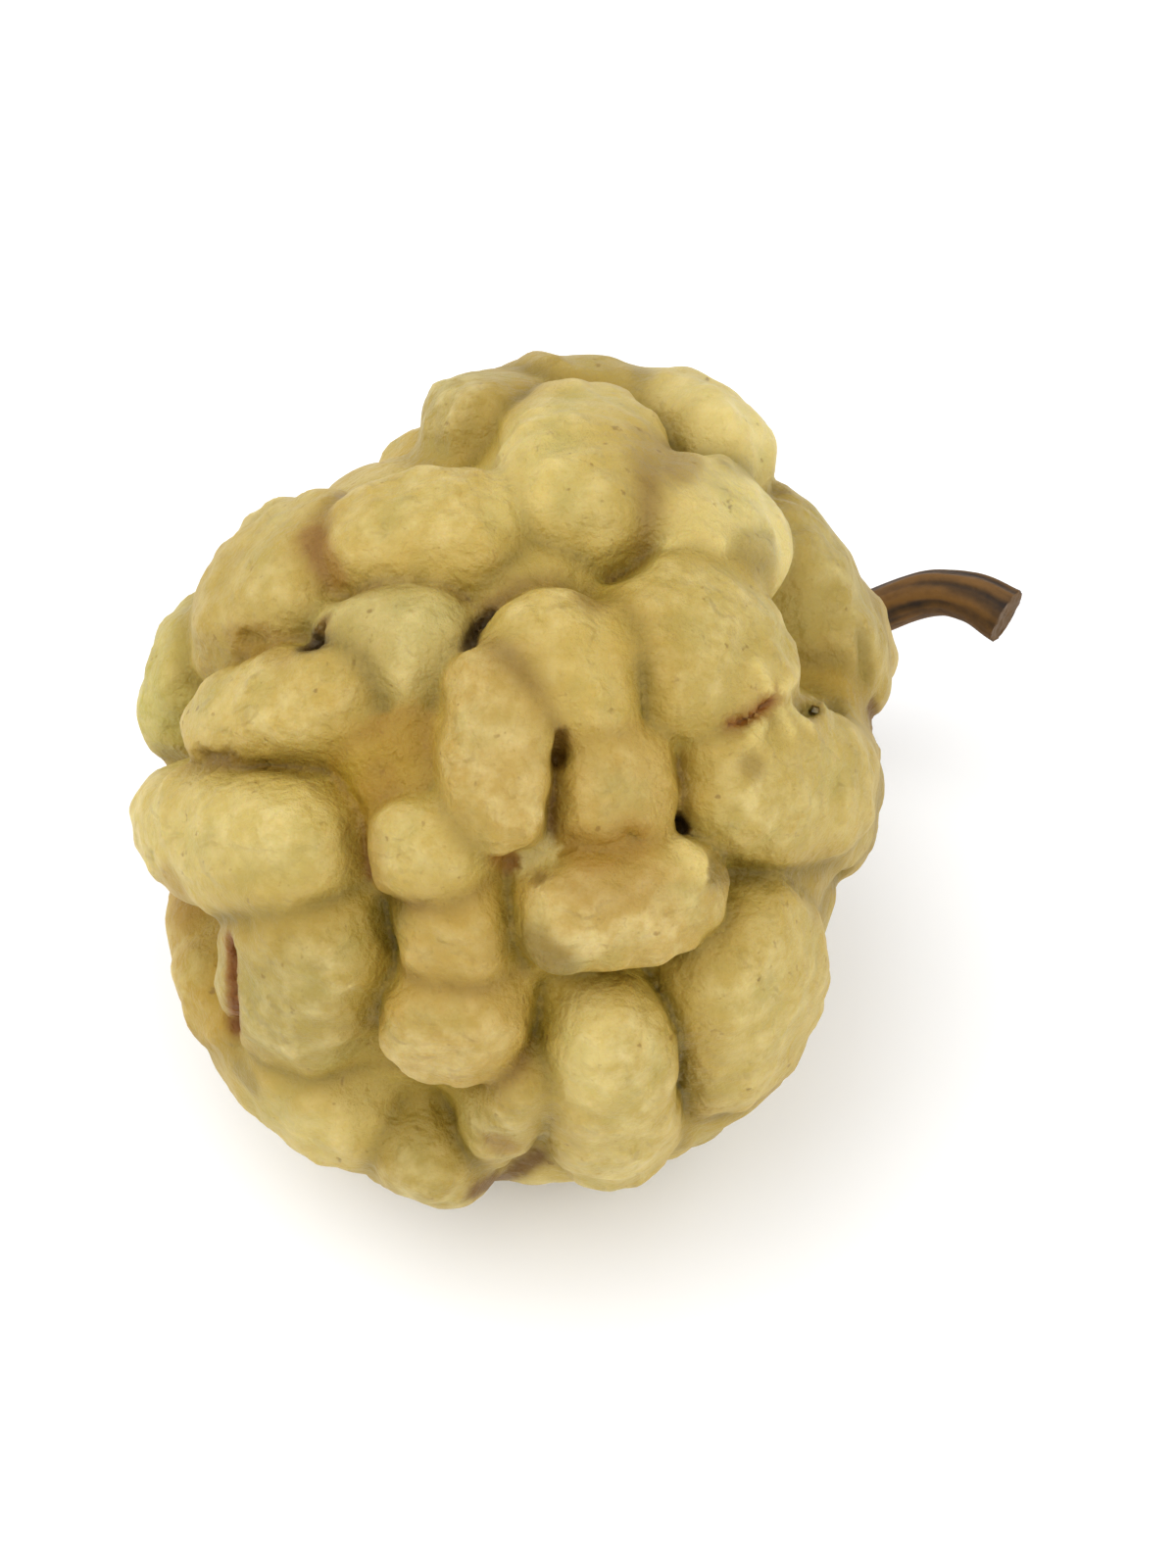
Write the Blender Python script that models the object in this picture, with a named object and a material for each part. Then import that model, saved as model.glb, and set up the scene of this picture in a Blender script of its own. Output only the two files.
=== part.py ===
"""A dried white mulberry with its short stem, resting on a flat surface.

Blender 4.5, metres, +Z up. The berry is one solid: drupelets fused to each other round a core. The stem is a
second solid, which stands in a socket at the berry's back.

Places on the berry are given along its own directions, right, up and front. Its tip looks to the front, and the
front looks up from the surface at FRONT_RISE. All sizes below are in millimetres and all angles in degrees.
"""

import math
import random
from typing import NamedTuple

import bmesh
import bpy
from mathutils import Matrix, Vector

MM = 0.001

# How the berry lies: the rise of its front over the surface, and where its middle is
FRONT_RISE = 56.0
MIDDLE = Vector((-1.24, -0.066, 6.55))

# The rounded surface that the drupelets' middles lie on, as half sizes from the berry's middle
HALF_RIGHT = 4.75
HALF_UP = 5.3
HALF_FRONT = 5.2
HALF_BACK = 5.4
CORE_INSET = 0.45

# A drupelet's depth as a share of its width and height together, how far its sides bulge into its neighbours,
# how much longer it is from tip to stem than it shows from in front where it lies aslant, how much narrower it is
# at its root, how square its outline is, and how uneven its dried skin is
DEPTH_SHARE = 0.27
BULGE = 1.12
RIM_STRETCH = 0.6
ROOT_TAPER = 0.2
PILLOW = 0.12
UNEVEN = 0.03
DRUPELET_SIDES = 12
DRUPELET_RINGS = 7
CORE_SIDES = 20
CORE_RINGS = 12
SHADED_SMOOTH_TO = 50.0


class Seen(NamedTuple):
    """A drupelet of the berry's front: its middle, its size and how its long side leans, clockwise from up."""

    name: str
    right: float
    up: float
    wide: float
    tall: float
    lean: float
    lift: float


FRONT = (
    # The crown above the tip, and the drupelets that show behind it
    Seen("crown", 1.15, 4.65, 2.6, 2.9, 0, 0.15),
    Seen("crown_back", 1.4, 5.0, 3.5, 2.8, 0, -2.2),
    Seen("crown_left", -0.15, 5.45, 2.2, 2.4, 10, -0.3),
    Seen("crown_right", 2.7, 5.3, 2.3, 2.6, -20, -0.6),
    Seen("crown_foot", 0.35, 2.95, 1.7, 1.6, 0, -0.3),
    Seen("far_bump", -2.1, 4.0, 1.7, 2.0, 0, -1.7),
    Seen("far_left", -1.9, 3.3, 2.6, 2.6, 0, -4.4),
    # The left side, from the brow down
    Seen("brow", -1.35, 3.65, 2.9, 1.9, 8, 0.0),
    Seen("left_shoulder", -3.35, 3.05, 2.3, 2.6, 35, 0.0),
    Seen("left_cheek", -1.8, 2.0, 2.3, 1.9, 0, -0.1),
    Seen("left_lens", -3.4, 1.1, 3.2, 1.7, 0, 0.0),
    Seen("left_rim_upper", -4.7, 1.6, 2.3, 2.4, 0, -0.8),
    Seen("left_rim_back", -4.0, 2.45, 2.2, 2.2, 0, -0.5),
    Seen("left_flank", -4.05, -0.8, 3.6, 2.2, -8, 0.1),
    Seen("left_rim_lower", -4.1, -2.9, 2.2, 3.0, 20, -0.7),
    Seen("left_jaw", -3.1, -2.8, 2.5, 2.8, 20, 0.0),
    Seen("left_chin", -3.1, -4.55, 2.8, 2.3, 15, 0.0),
    # The tip, where the smallest drupelets crowd together
    Seen("tip_tongue", -0.2, 0.5, 1.75, 2.9, -4, 0.1),
    Seen("tip_arch", 0.8, 1.75, 2.5, 2.1, 20, 0.0),
    Seen("tip_heart", 1.6, -0.1, 1.9, 1.9, 0, 0.0),
    Seen("tip_bead", -1.25, -1.05, 1.75, 1.65, 0, 0.2),
    Seen("tip_hollow", -1.7, 0.35, 1.5, 1.6, 0, -0.25),
    Seen("saddle", 1.65, -1.85, 3.0, 1.85, -4, 0.1),
    # Below the tip
    Seen("eight_upper", -0.85, -2.25, 1.8, 1.7, 0, 0.0),
    Seen("eight_lower", -0.85, -3.7, 2.2, 1.75, 0, 0.15),
    Seen("seedling", -0.1, -5.0, 1.3, 2.6, 12, 0.3),
    Seen("keel", 1.5, -4.55, 2.1, 3.5, 0, 0.2),
    Seen("bottom_bump", -1.2, -5.6, 2.0, 2.7, 0, -0.5),
    # The right side, from the shoulder down
    Seen("right_brow", 2.8, 4.0, 2.7, 1.9, -25, 0.95),
    Seen("right_shoulder", 2.87, 1.92, 2.65, 2.6, -8, 0.1),
    Seen("right_rim_upper", 4.3, 2.6, 2.3, 3.5, -15, -0.5),
    Seen("right_rim_far", 5.0, 2.3, 2.1, 2.0, -10, -1.8),
    Seen("right_rim_middle", 4.6, 1.25, 2.1, 2.2, 0, -0.8),
    Seen("right_cheek", 3.95, 0.0, 3.0, 2.5, 0, 0.0),
    Seen("right_rim", 4.55, 0.0, 2.5, 2.8, 0, -1.3),
    Seen("right_hollow", 4.0, -1.5, 2.0, 1.6, 0, -0.2),
    Seen("right_rim_lower", 3.8, -2.3, 2.1, 2.7, -15, -1.5),
    Seen("right_jaw", 3.35, -3.2, 2.7, 3.1, 0, 0.15),
    Seen("right_chin", 2.95, -4.4, 2.8, 2.1, 10, -0.4),
)

# The three drupelets that it rests on, from the point under its middle, and how much of each is pressed flat
FEET = ((-2.1, -1.4), (2.0, -1.6), (-0.1, 2.4))
FOOT_WIDE = 2.9
FOOT_TALL = 3.0
FOOT_PRESSED = 0.2
CLEAR_OF_SURFACE = 0.3

# The drupelets of the back: each grows in the widest gap that is left, until no gap is wider than BACK_GAP
BACK_SEED = 11
BACK_PLACES = 600
BACK_START = -0.22
BACK_SHRINK = 0.9
BACK_GAP = 1.95
BACK_WIDE = (2.6, 3.0)
BACK_TALL = (2.6, 3.1)
BACK_LEAN = 30.0
BACK_LIFT = 0.2
GOLDEN_ANGLE = 180.0 * (3.0 - math.sqrt(5.0))

# The stem, from its root in the berry to its cut end, from the point on the surface under the berry's middle
STEM_ROUTE = (
    (1.3, 2.7, 3.6),
    (1.95, 4.0, 2.35),
    (2.9, 5.1, 1.6),
    (4.3, 5.8, 1.65),
    (5.6, 6.05, 2.3),
    (6.8, 6.05, 3.0),
    (7.6, 5.9, 3.2),
    (8.15, 5.7, 3.15),
)
STEM_ROOT_RADIUS = 0.5
STEM_ROOT_LENGTH = 1.2
STEM_RADIUS = 0.37
STEM_END_RADIUS = 0.43
STEM_END_LENGTH = 1.2
STEM_SIDES = 10
STEM_STEPS = 5
STEM_CUT = 30.0
STEM_SEED = 5
STEM_UNEVEN = 0.05
SOCKET_GAP = 0.1

# The block that presses the feet flat, and the least lengths that a direction is worked out from
BLOCK = 30.0
LEAST_ACROSS = 0.5
LEAST_ASLANT = 0.1

# Material values: colour as linear red, green and blue, then roughness
FLESH = ((0.50, 0.37, 0.12), 0.55)
STALK = ((0.10, 0.045, 0.016), 0.7)


class Drupelet(NamedTuple):
    """A drupelet placed on the berry: its middle, its directions across, along and out, and its half sizes."""

    name: str
    middle: Vector
    directions: Matrix
    half: Vector


def berry_turn():
    """The rotation from the berry's right, up and front to the world."""
    return Matrix.Rotation(math.radians(90.0 - FRONT_RISE), 3, "X")


def out_of(place):
    """The way out of the berry at a place near its surface."""
    depth = HALF_FRONT if place.z > 0.0 else HALF_BACK
    slope = Vector((place.x / HALF_RIGHT**2, place.y / HALF_UP**2, place.z / depth**2))
    return slope.normalized()


def drupelet_at(name, middle, wide, tall, lean):
    """A drupelet whose middle is at a place, with its crown looking out of the berry."""
    out = out_of(middle)
    across = Vector((1.0, 0.0, 0.0)) - out * out.x
    if across.length < LEAST_ACROSS:
        across = Vector((0.0, 1.0, 0.0)).cross(out)
    across.normalize()
    along = out.cross(across)
    spin = Matrix.Rotation(math.radians(-lean), 3, out)
    directions = Matrix((spin @ across, spin @ along, out)).transposed()
    towards_tip = Vector((0.0, 0.0, 1.0)) - out * out.z
    aslant = RIM_STRETCH * (1.0 - abs(out.z)) / max(towards_tip.length, LEAST_ASLANT) ** 2
    wider = 1.0 + aslant * towards_tip.dot(directions.col[0]) ** 2
    taller = 1.0 + aslant * towards_tip.dot(directions.col[1]) ** 2
    half = Vector((wide * wider / 2 * BULGE, tall * taller / 2 * BULGE, DEPTH_SHARE * (wide + tall)))
    return Drupelet(name, middle, directions, half)


def front_drupelets():
    """The drupelets of the front, each on the rounded surface and moved to the front by its lift."""
    placed = []
    for seen in FRONT:
        share = (seen.right / HALF_RIGHT) ** 2 + (seen.up / HALF_UP) ** 2
        front = HALF_FRONT * math.sqrt(max(0.0, 1.0 - share)) + seen.lift
        middle = Vector((seen.right, seen.up, front))
        placed.append(drupelet_at(seen.name, middle, seen.wide, seen.tall, seen.lean))
    return placed


def lowest(drupelet):
    """The height of a drupelet's lowest point over the surface."""
    up = berry_turn().transposed() @ Vector((0.0, 0.0, 1.0))
    reach = Vector(h * d.dot(up) for h, d in zip(drupelet.half, drupelet.directions.col)).length
    return MIDDLE.z + drupelet.middle.dot(up) - reach


def raised(drupelet, height):
    """The same drupelet moved straight up."""
    up = berry_turn().transposed() @ Vector((0.0, 0.0, 1.0))
    return drupelet._replace(middle=drupelet.middle + up * height)


def foot_drupelets():
    """The three drupelets underneath, each reaching a little past the surface, where it is pressed flat."""
    placed = []
    for number, (x, y) in enumerate(FEET):
        under = berry_turn().transposed() @ Vector((x, y, -HALF_BACK))
        foot = drupelet_at(f"foot_{number}", under, FOOT_WIDE, FOOT_TALL, 0.0)
        placed.append(raised(foot, -FOOT_PRESSED - lowest(foot)))
    return placed


def back_places():
    """Places spread evenly over the back, from just behind the berry's rim to its stem end."""
    places = []
    for number in range(BACK_PLACES):
        front = BACK_START - (1.0 + BACK_START) * (number + 0.5) / BACK_PLACES
        around = math.radians(GOLDEN_ANGLE * number)
        ring = BACK_SHRINK * math.sqrt(1.0 - front**2)
        places.append(
            Vector((HALF_RIGHT * ring * math.cos(around), HALF_UP * ring * math.sin(around), HALF_BACK * front))
        )
    return places


def back_drupelets(placed):
    """The drupelets of the back, each in the middle of the widest gap that is left."""
    draw = random.Random(BACK_SEED)
    places = back_places()
    gaps = [min((place - other.middle).length for other in placed) for place in places]
    added = []
    while max(gaps) > BACK_GAP:
        middle = places[gaps.index(max(gaps))]
        gaps = [min(gap, (place - middle).length) for gap, place in zip(gaps, places)]
        wide, tall = draw.uniform(*BACK_WIDE), draw.uniform(*BACK_TALL)
        lifted = middle + out_of(middle) * draw.uniform(-BACK_LIFT, BACK_LIFT)
        lean = draw.uniform(-BACK_LEAN, BACK_LEAN)
        drupelet = drupelet_at(f"back_{len(added)}", lifted, wide, tall, lean)
        added.append(raised(drupelet, max(0.0, CLEAR_OF_SURFACE - lowest(drupelet))))
    return added


def object_from(bm, name):
    """An object that holds a bmesh, linked to the scene."""
    mesh = bpy.data.meshes.new(name)
    bm.to_mesh(mesh)
    bm.free()
    made = bpy.data.objects.new(name, mesh)
    bpy.context.scene.collection.objects.link(made)
    return made


def drupelet_object(drupelet, draw):
    """A drupelet's own solid: a pillow, narrower at its root and a little uneven."""
    bm = bmesh.new()
    bmesh.ops.create_uvsphere(bm, u_segments=DRUPELET_SIDES, v_segments=DRUPELET_RINGS, radius=1.0)
    for vertex in bm.verts:
        x, y, z = vertex.co
        corner = 1.0 + PILLOW * (2.0 * x * y) ** 2
        side = corner * (1.0 - ROOT_TAPER * max(0.0, -z)) * (1.0 + draw.uniform(-UNEVEN, UNEVEN))
        crown = 1.0 + draw.uniform(-UNEVEN, UNEVEN)
        local = Vector((x * side * drupelet.half.x, y * side * drupelet.half.y, z * crown * drupelet.half.z))
        vertex.co = (drupelet.middle + drupelet.directions @ local) * MM
    return object_from(bm, drupelet.name)


def core_object():
    """The flesh that the drupelets stand out of."""
    bm = bmesh.new()
    bmesh.ops.create_uvsphere(bm, u_segments=CORE_SIDES, v_segments=CORE_RINGS, radius=1.0)
    for vertex in bm.verts:
        depth = HALF_FRONT if vertex.co.z > 0.0 else HALF_BACK
        half = Vector((HALF_RIGHT, HALF_UP, depth)) - Vector((CORE_INSET,) * 3)
        vertex.co = vertex.co * half * MM
    return object_from(bm, "berry")


def smooth_route(points, steps):
    """Points along a smooth curve through a route's points, with its direction at each."""
    ends = [2 * points[0] - points[1], *points, 2 * points[-1] - points[-2]]
    route = []
    for i in range(1, len(ends) - 2):
        before, start, end, after = ends[i - 1 : i + 3]
        count = steps + (i == len(ends) - 3)
        for step in range(count):
            t = step / steps
            place = 0.5 * (
                2 * start
                + (end - before) * t
                + (2 * before - 5 * start + 4 * end - after) * t**2
                + (3 * start - before - 3 * end + after) * t**3
            )
            route.append(place)
    return route


def stem_radius(along, total):
    """The stem's radius: thick at the root, slim along its length, and flared a little at the cut end."""
    root = (STEM_ROOT_RADIUS - STEM_RADIUS) * math.exp(-along / STEM_ROOT_LENGTH)
    flare = (STEM_END_RADIUS - STEM_RADIUS) * max(0.0, 1.0 - (total - along) / STEM_END_LENGTH)
    return STEM_RADIUS + root + flare


def stem_object(name, extra):
    """A tube along the stem's route, with extra added to its radius."""
    draw = random.Random(STEM_SEED)
    route = smooth_route([Vector(p) for p in STEM_ROUTE], STEM_STEPS)
    lengths = [0.0]
    for a, b in zip(route, route[1:]):
        lengths.append(lengths[-1] + (b - a).length)
    total = lengths[-1]
    ridges = [1.0 + draw.uniform(-STEM_UNEVEN, STEM_UNEVEN) for _ in range(STEM_SIDES)]
    side = Vector((0.0, 0.0, 1.0))
    bm = bmesh.new()
    loops = []
    for i, place in enumerate(route):
        ahead = (route[min(i + 1, len(route) - 1)] - route[max(i - 1, 0)]).normalized()
        side = (side - ahead * side.dot(ahead)).normalized()
        other = ahead.cross(side)
        slant = math.tan(math.radians(STEM_CUT)) if i == len(route) - 1 else 0.0
        loop = []
        for k in range(STEM_SIDES):
            angle = 2.0 * math.pi * k / STEM_SIDES
            radius = stem_radius(lengths[i], total) * ridges[k] + extra
            rim = side * math.cos(angle) + other * math.sin(angle)
            spot = place + rim * radius + ahead * (slant * radius * math.cos(angle))
            loop.append(bm.verts.new(spot * MM))
        loops.append(loop)
    for first, second in zip(loops, loops[1:]):
        for k in range(STEM_SIDES):
            after = (k + 1) % STEM_SIDES
            bm.faces.new((first[k], first[after], second[after], second[k]))
    bm.faces.new(reversed(loops[0]))
    bm.faces.new(loops[-1])
    bmesh.ops.recalc_face_normals(bm, faces=bm.faces)
    return object_from(bm, name)


def surface_cutter():
    """A block under the surface, which takes the pressed part off the three feet."""
    bm = bmesh.new()
    bmesh.ops.create_cube(bm, size=1.0)
    for vertex in bm.verts:
        vertex.co = (vertex.co - Vector((0.0, 0.0, 0.5))) * BLOCK * MM
    return object_from(bm, "surface_cutter")


def fuse(body, parts):
    """Joins the parts to the body in one solid and removes them."""
    group = bpy.data.collections.new("drupelets")
    bpy.context.scene.collection.children.link(group)
    for part in parts:
        bpy.context.scene.collection.objects.unlink(part)
        group.objects.link(part)
    union = body.modifiers.new("fused_drupelets", "BOOLEAN")
    union.operation = "UNION"
    union.operand_type = "COLLECTION"
    union.collection = group
    union.solver = "EXACT"
    graph = bpy.context.evaluated_depsgraph_get()
    fused = bpy.data.meshes.new_from_object(body.evaluated_get(graph))
    body.modifiers.remove(union)
    body.data = fused
    fused.name = body.name
    for part in parts:
        bpy.data.objects.remove(part)
    bpy.data.collections.remove(group)


def fill_hollows(body):
    """Fills what fusing sealed between drupelets and core, by keeping only the outer shell."""
    bm = bmesh.new()
    bm.from_mesh(body.data)
    left, shells = set(bm.faces), []
    while left:
        shell, edge_of_shell = set(), [left.pop()]
        while edge_of_shell:
            face = edge_of_shell.pop()
            shell.add(face)
            beside = {other for edge in face.edges for other in edge.link_faces} & left
            left -= beside
            edge_of_shell.extend(beside)
        shells.append(shell)
    outer = max(shells, key=len)
    inner = [face for shell in shells if shell is not outer for face in shell]
    bmesh.ops.delete(bm, geom=inner, context="FACES")
    bm.to_mesh(body.data)
    bm.free()


def cut(body, cutter):
    """Cuts a hidden cutter out of the body."""
    cutter.hide_render = True
    cutter.display_type = "WIRE"
    modifier = body.modifiers.new(cutter.name, "BOOLEAN")
    modifier.operation = "DIFFERENCE"
    modifier.object = cutter


def finish(made, name, values):
    """Shades an object smooth and gives it a material of its own."""
    colour, roughness = values
    material = bpy.data.materials.new(name)
    material.use_nodes = True
    shader = material.node_tree.nodes["Principled BSDF"]
    shader.inputs["Base Color"].default_value = (*colour, 1.0)
    shader.inputs["Roughness"].default_value = roughness
    material.diffuse_color = (*colour, 1.0)
    made.data.materials.clear()
    made.data.materials.append(material)
    made.data.shade_smooth()
    made.data.set_sharp_from_angle(angle=math.radians(SHADED_SMOOTH_TO))


def clear_scene():
    """Removes whatever the scene holds."""
    for old in list(bpy.data.objects):
        bpy.data.objects.remove(old)


def main():
    """Builds the berry and its stem, and stands both on the surface."""
    clear_scene()
    placed = front_drupelets() + foot_drupelets()
    placed += back_drupelets(placed)
    draw = random.Random(BACK_SEED)
    berry = core_object()
    fuse(berry, [drupelet_object(drupelet, draw) for drupelet in placed])
    fill_hollows(berry)
    berry.rotation_euler = berry_turn().to_euler()
    berry.location = MIDDLE * MM

    under_middle = Vector((MIDDLE.x, MIDDLE.y, 0.0)) * MM
    stem = stem_object("stem", 0.0)
    socket = stem_object("stem_socket", SOCKET_GAP)
    stem.location = under_middle
    socket.location = under_middle
    cut(berry, surface_cutter())
    cut(berry, socket)
    finish(berry, "dried_flesh", FLESH)
    finish(stem, "dry_stalk", STALK)

    whole = bpy.data.objects.new("mulberry", None)
    bpy.context.scene.collection.objects.link(whole)
    for piece in (berry, stem):
        piece.parent = whole


main()
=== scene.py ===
"""Dresses a dried white mulberry: its wrinkled flesh and its dry stalk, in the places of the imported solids.

The flesh is a field of distances, worked out from the same drupelets as the solid's and then wrinkled, creased and
pitted. A net is drawn over the field's zero level. All lengths are in millimetres until a mesh is made from them.
Places on the berry are given along its own directions, right, up and front.
"""

import logging
import math
import random
from dataclasses import dataclass, field
from enum import Enum

import bpy
import numpy as np
from mathutils import Matrix, Vector


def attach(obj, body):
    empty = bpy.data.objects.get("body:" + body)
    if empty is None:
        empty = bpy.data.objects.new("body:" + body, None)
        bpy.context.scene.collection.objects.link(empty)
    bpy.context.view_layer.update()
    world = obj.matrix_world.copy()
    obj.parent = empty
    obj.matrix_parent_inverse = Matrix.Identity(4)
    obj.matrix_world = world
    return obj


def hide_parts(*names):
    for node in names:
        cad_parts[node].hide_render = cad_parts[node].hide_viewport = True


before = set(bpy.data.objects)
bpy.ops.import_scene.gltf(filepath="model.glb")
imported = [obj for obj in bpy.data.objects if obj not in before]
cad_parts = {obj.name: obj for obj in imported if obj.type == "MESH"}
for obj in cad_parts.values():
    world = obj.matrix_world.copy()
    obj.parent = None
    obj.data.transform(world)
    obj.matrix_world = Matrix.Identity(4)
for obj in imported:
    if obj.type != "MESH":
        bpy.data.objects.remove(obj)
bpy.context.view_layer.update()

LOG = logging.getLogger("mulberry")
MM = 0.001

# The berry's rounded body, as in the solid: how it lies, its middle, and its half sizes
FRONT_RISE = 56.0
MIDDLE = Vector((-1.24, -0.066, 6.55))
HALF_RIGHT = 4.75
HALF_UP = 5.3
HALF_FRONT = 5.2
HALF_BACK = 5.4
DEPTH_SHARE = 0.27
BULGE = 1.12
RIM_STRETCH = 0.6
ROOT_TAPER = 0.2

# How drupelets press together as they dry: wider than the solid's, squarer in outline and flatter on top
PRESSED_WIDER = 1.14
SQUARE = 2.4
FLAT = 2.7

LEAST_ACROSS = 0.5
LEAST_ASLANT = 0.1

# The drupelets underneath and behind, as in the solid
FEET = ((-2.1, -1.4), (2.0, -1.6), (-0.1, 2.4))
FOOT_WIDE = 2.9
FOOT_TALL = 3.0
FOOT_PRESSED = 0.2
CLEAR_OF_SURFACE = 0.3
BACK_SEED = 11
BACK_PLACES = 600
BACK_START = -0.22
BACK_SHRINK = 0.9
BACK_GAP = 1.95
BACK_WIDE = (2.6, 3.0)
BACK_TALL = (2.6, 3.1)
BACK_LEAN = 30.0
BACK_LIFT = 0.2
GOLDEN_ANGLE = 180.0 * (3.0 - math.sqrt(5.0))

Points = np.ndarray


class Tone(Enum):
    """The colours that a drupelet dries to, as sRGB hex."""

    # A lighter straw tone, painted light on upper lobes that the lamps leave too dim.
    STRAW_PAINTED_LIGHT = "#C8B672"
    PALE = "#B6A159"
    GOLD = "#AA944D"
    TAN = "#B29A50"
    ROSY = "#AB904B"
    OLIVE = "#9B8742"
    GREEN = "#ACA053"
    SAGE = "#AFA062"
    AMBER = "#A2842E"


class StainAndPaintedLight(Enum):
    """Colours of lines and marks, as sRGB hex: stains that dried in a crease, and on some marks painted shade, on
    others painted highlight.
    """

    BLACK = "#33200B"
    BROWN = "#63430C"
    RUST = "#7A4A12"
    AMBER = "#8A661A"
    OLIVE = "#5E4C0A"
    # A pale colour: partly a sugary coat, partly painted highlight on streaks and raised folds.
    PALE_BLOOM_AND_HIGHLIGHT = "#D2BF78"


@dataclass(frozen=True)
class Seen:
    """A drupelet of the front: its middle, its size, its lean clockwise from up, its lift and its tone."""

    name: str
    right: float
    up: float
    wide: float
    tall: float
    lean: float
    lift: float
    tone: Tone


FRONT = (
    # The crown above the tip, and the drupelets that show behind it
    Seen("crown", 1.15, 4.65, 2.6, 2.9, 0, 0.15, Tone.PALE),
    Seen("crown_back", 1.4, 5.0, 3.5, 2.8, 0, -2.2, Tone.OLIVE),
    Seen("crown_left", -0.15, 5.45, 2.2, 2.4, 10, -0.3, Tone.OLIVE),
    Seen("crown_right", 2.7, 5.3, 2.3, 2.6, -20, -0.6, Tone.STRAW_PAINTED_LIGHT),
    Seen("crown_foot", 0.35, 2.95, 1.7, 1.6, 0, -0.3, Tone.GOLD),
    Seen("far_bump", -2.1, 4.0, 1.7, 2.0, 0, -1.7, Tone.PALE),
    Seen("far_left", -1.9, 3.3, 2.6, 2.6, 0, -4.4, Tone.GOLD),
    # The left side, from the brow down
    Seen("brow", -1.35, 3.65, 2.9, 1.9, 8, 0.0, Tone.TAN),
    Seen("left_shoulder", -3.35, 3.05, 2.3, 2.6, 35, 0.0, Tone.GOLD),
    Seen("left_cheek", -1.8, 2.0, 2.3, 1.9, 0, -0.1, Tone.SAGE),
    Seen("left_lens", -3.4, 1.1, 3.2, 1.7, 0, 0.0, Tone.TAN),
    Seen("left_rim_upper", -4.7, 1.6, 2.3, 2.4, 0, -0.8, Tone.GREEN),
    Seen("left_rim_back", -4.0, 2.45, 2.2, 2.2, 0, -0.5, Tone.GOLD),
    Seen("left_flank", -4.05, -0.8, 3.6, 2.2, -8, 0.1, Tone.PALE),
    Seen("left_rim_lower", -4.1, -2.9, 2.2, 3.0, 20, -0.7, Tone.AMBER),
    Seen("left_jaw", -3.1, -2.8, 2.5, 2.8, 20, 0.0, Tone.OLIVE),
    Seen("left_chin", -3.1, -4.55, 2.8, 2.3, 15, 0.0, Tone.PALE),
    # The tip, where the smallest drupelets crowd together
    Seen("tip_tongue", -0.2, 0.5, 1.75, 2.9, -4, 0.1, Tone.ROSY),
    Seen("tip_arch", 0.8, 1.75, 2.5, 2.1, 20, 0.0, Tone.TAN),
    Seen("tip_heart", 1.6, -0.1, 1.9, 1.9, 0, 0.0, Tone.ROSY),
    Seen("tip_bead", -1.25, -1.05, 1.75, 1.65, 0, 0.2, Tone.PALE),
    Seen("tip_hollow", -1.7, 0.35, 1.5, 1.6, 0, -0.25, Tone.AMBER),
    Seen("saddle", 1.65, -1.85, 3.0, 1.85, -4, 0.1, Tone.ROSY),
    # Below the tip
    Seen("eight_upper", -0.85, -2.25, 1.8, 1.7, 0, 0.0, Tone.ROSY),
    Seen("eight_lower", -0.85, -3.7, 2.2, 1.75, 0, 0.15, Tone.ROSY),
    Seen("seedling", -0.1, -5.0, 1.3, 2.6, 12, 0.3, Tone.OLIVE),
    Seen("keel", 1.5, -4.55, 2.1, 3.5, 0, 0.2, Tone.GOLD),
    Seen("bottom_bump", -1.2, -5.6, 2.0, 2.7, 0, -0.5, Tone.OLIVE),
    # The right side, from the shoulder down
    Seen("right_brow", 2.8, 4.0, 2.7, 1.9, -25, 0.95, Tone.STRAW_PAINTED_LIGHT),
    Seen("right_shoulder", 2.87, 1.92, 2.65, 2.6, -8, 0.1, Tone.GOLD),
    Seen("right_rim_upper", 4.3, 2.6, 2.3, 3.5, -15, -0.5, Tone.OLIVE),
    Seen("right_rim_far", 5.0, 2.3, 2.1, 2.0, -10, -1.8, Tone.GOLD),
    Seen("right_rim_middle", 4.6, 1.25, 2.1, 2.2, 0, -0.8, Tone.AMBER),
    Seen("right_cheek", 3.95, 0.0, 3.0, 2.5, 0, 0.0, Tone.GOLD),
    Seen("right_rim", 4.55, 0.0, 2.5, 2.8, 0, -1.3, Tone.OLIVE),
    Seen("right_hollow", 4.0, -1.5, 2.0, 1.6, 0, -0.2, Tone.OLIVE),
    Seen("right_rim_lower", 3.8, -2.3, 2.1, 2.7, -15, -1.5, Tone.OLIVE),
    Seen("right_jaw", 3.35, -3.2, 2.7, 3.1, 0, 0.15, Tone.GOLD),
    Seen("right_chin", 2.95, -4.4, 2.8, 2.1, 10, -0.4, Tone.OLIVE),
)


@dataclass(frozen=True)
class Crease:
    """A crack, slit, pit, fold or coloured mark in the skin of the front: stains, and on some flat marks painted
    shade, on others painted highlight.

    It has the places that it runs through, its width, its depth, less than 0 for a raised fold and 0 for a mere
    flat mark, and how strong its colour is.
    """

    route: tuple[tuple[float, float], ...]
    wide: float
    deep: float
    share: float
    stain: StainAndPaintedLight


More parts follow.
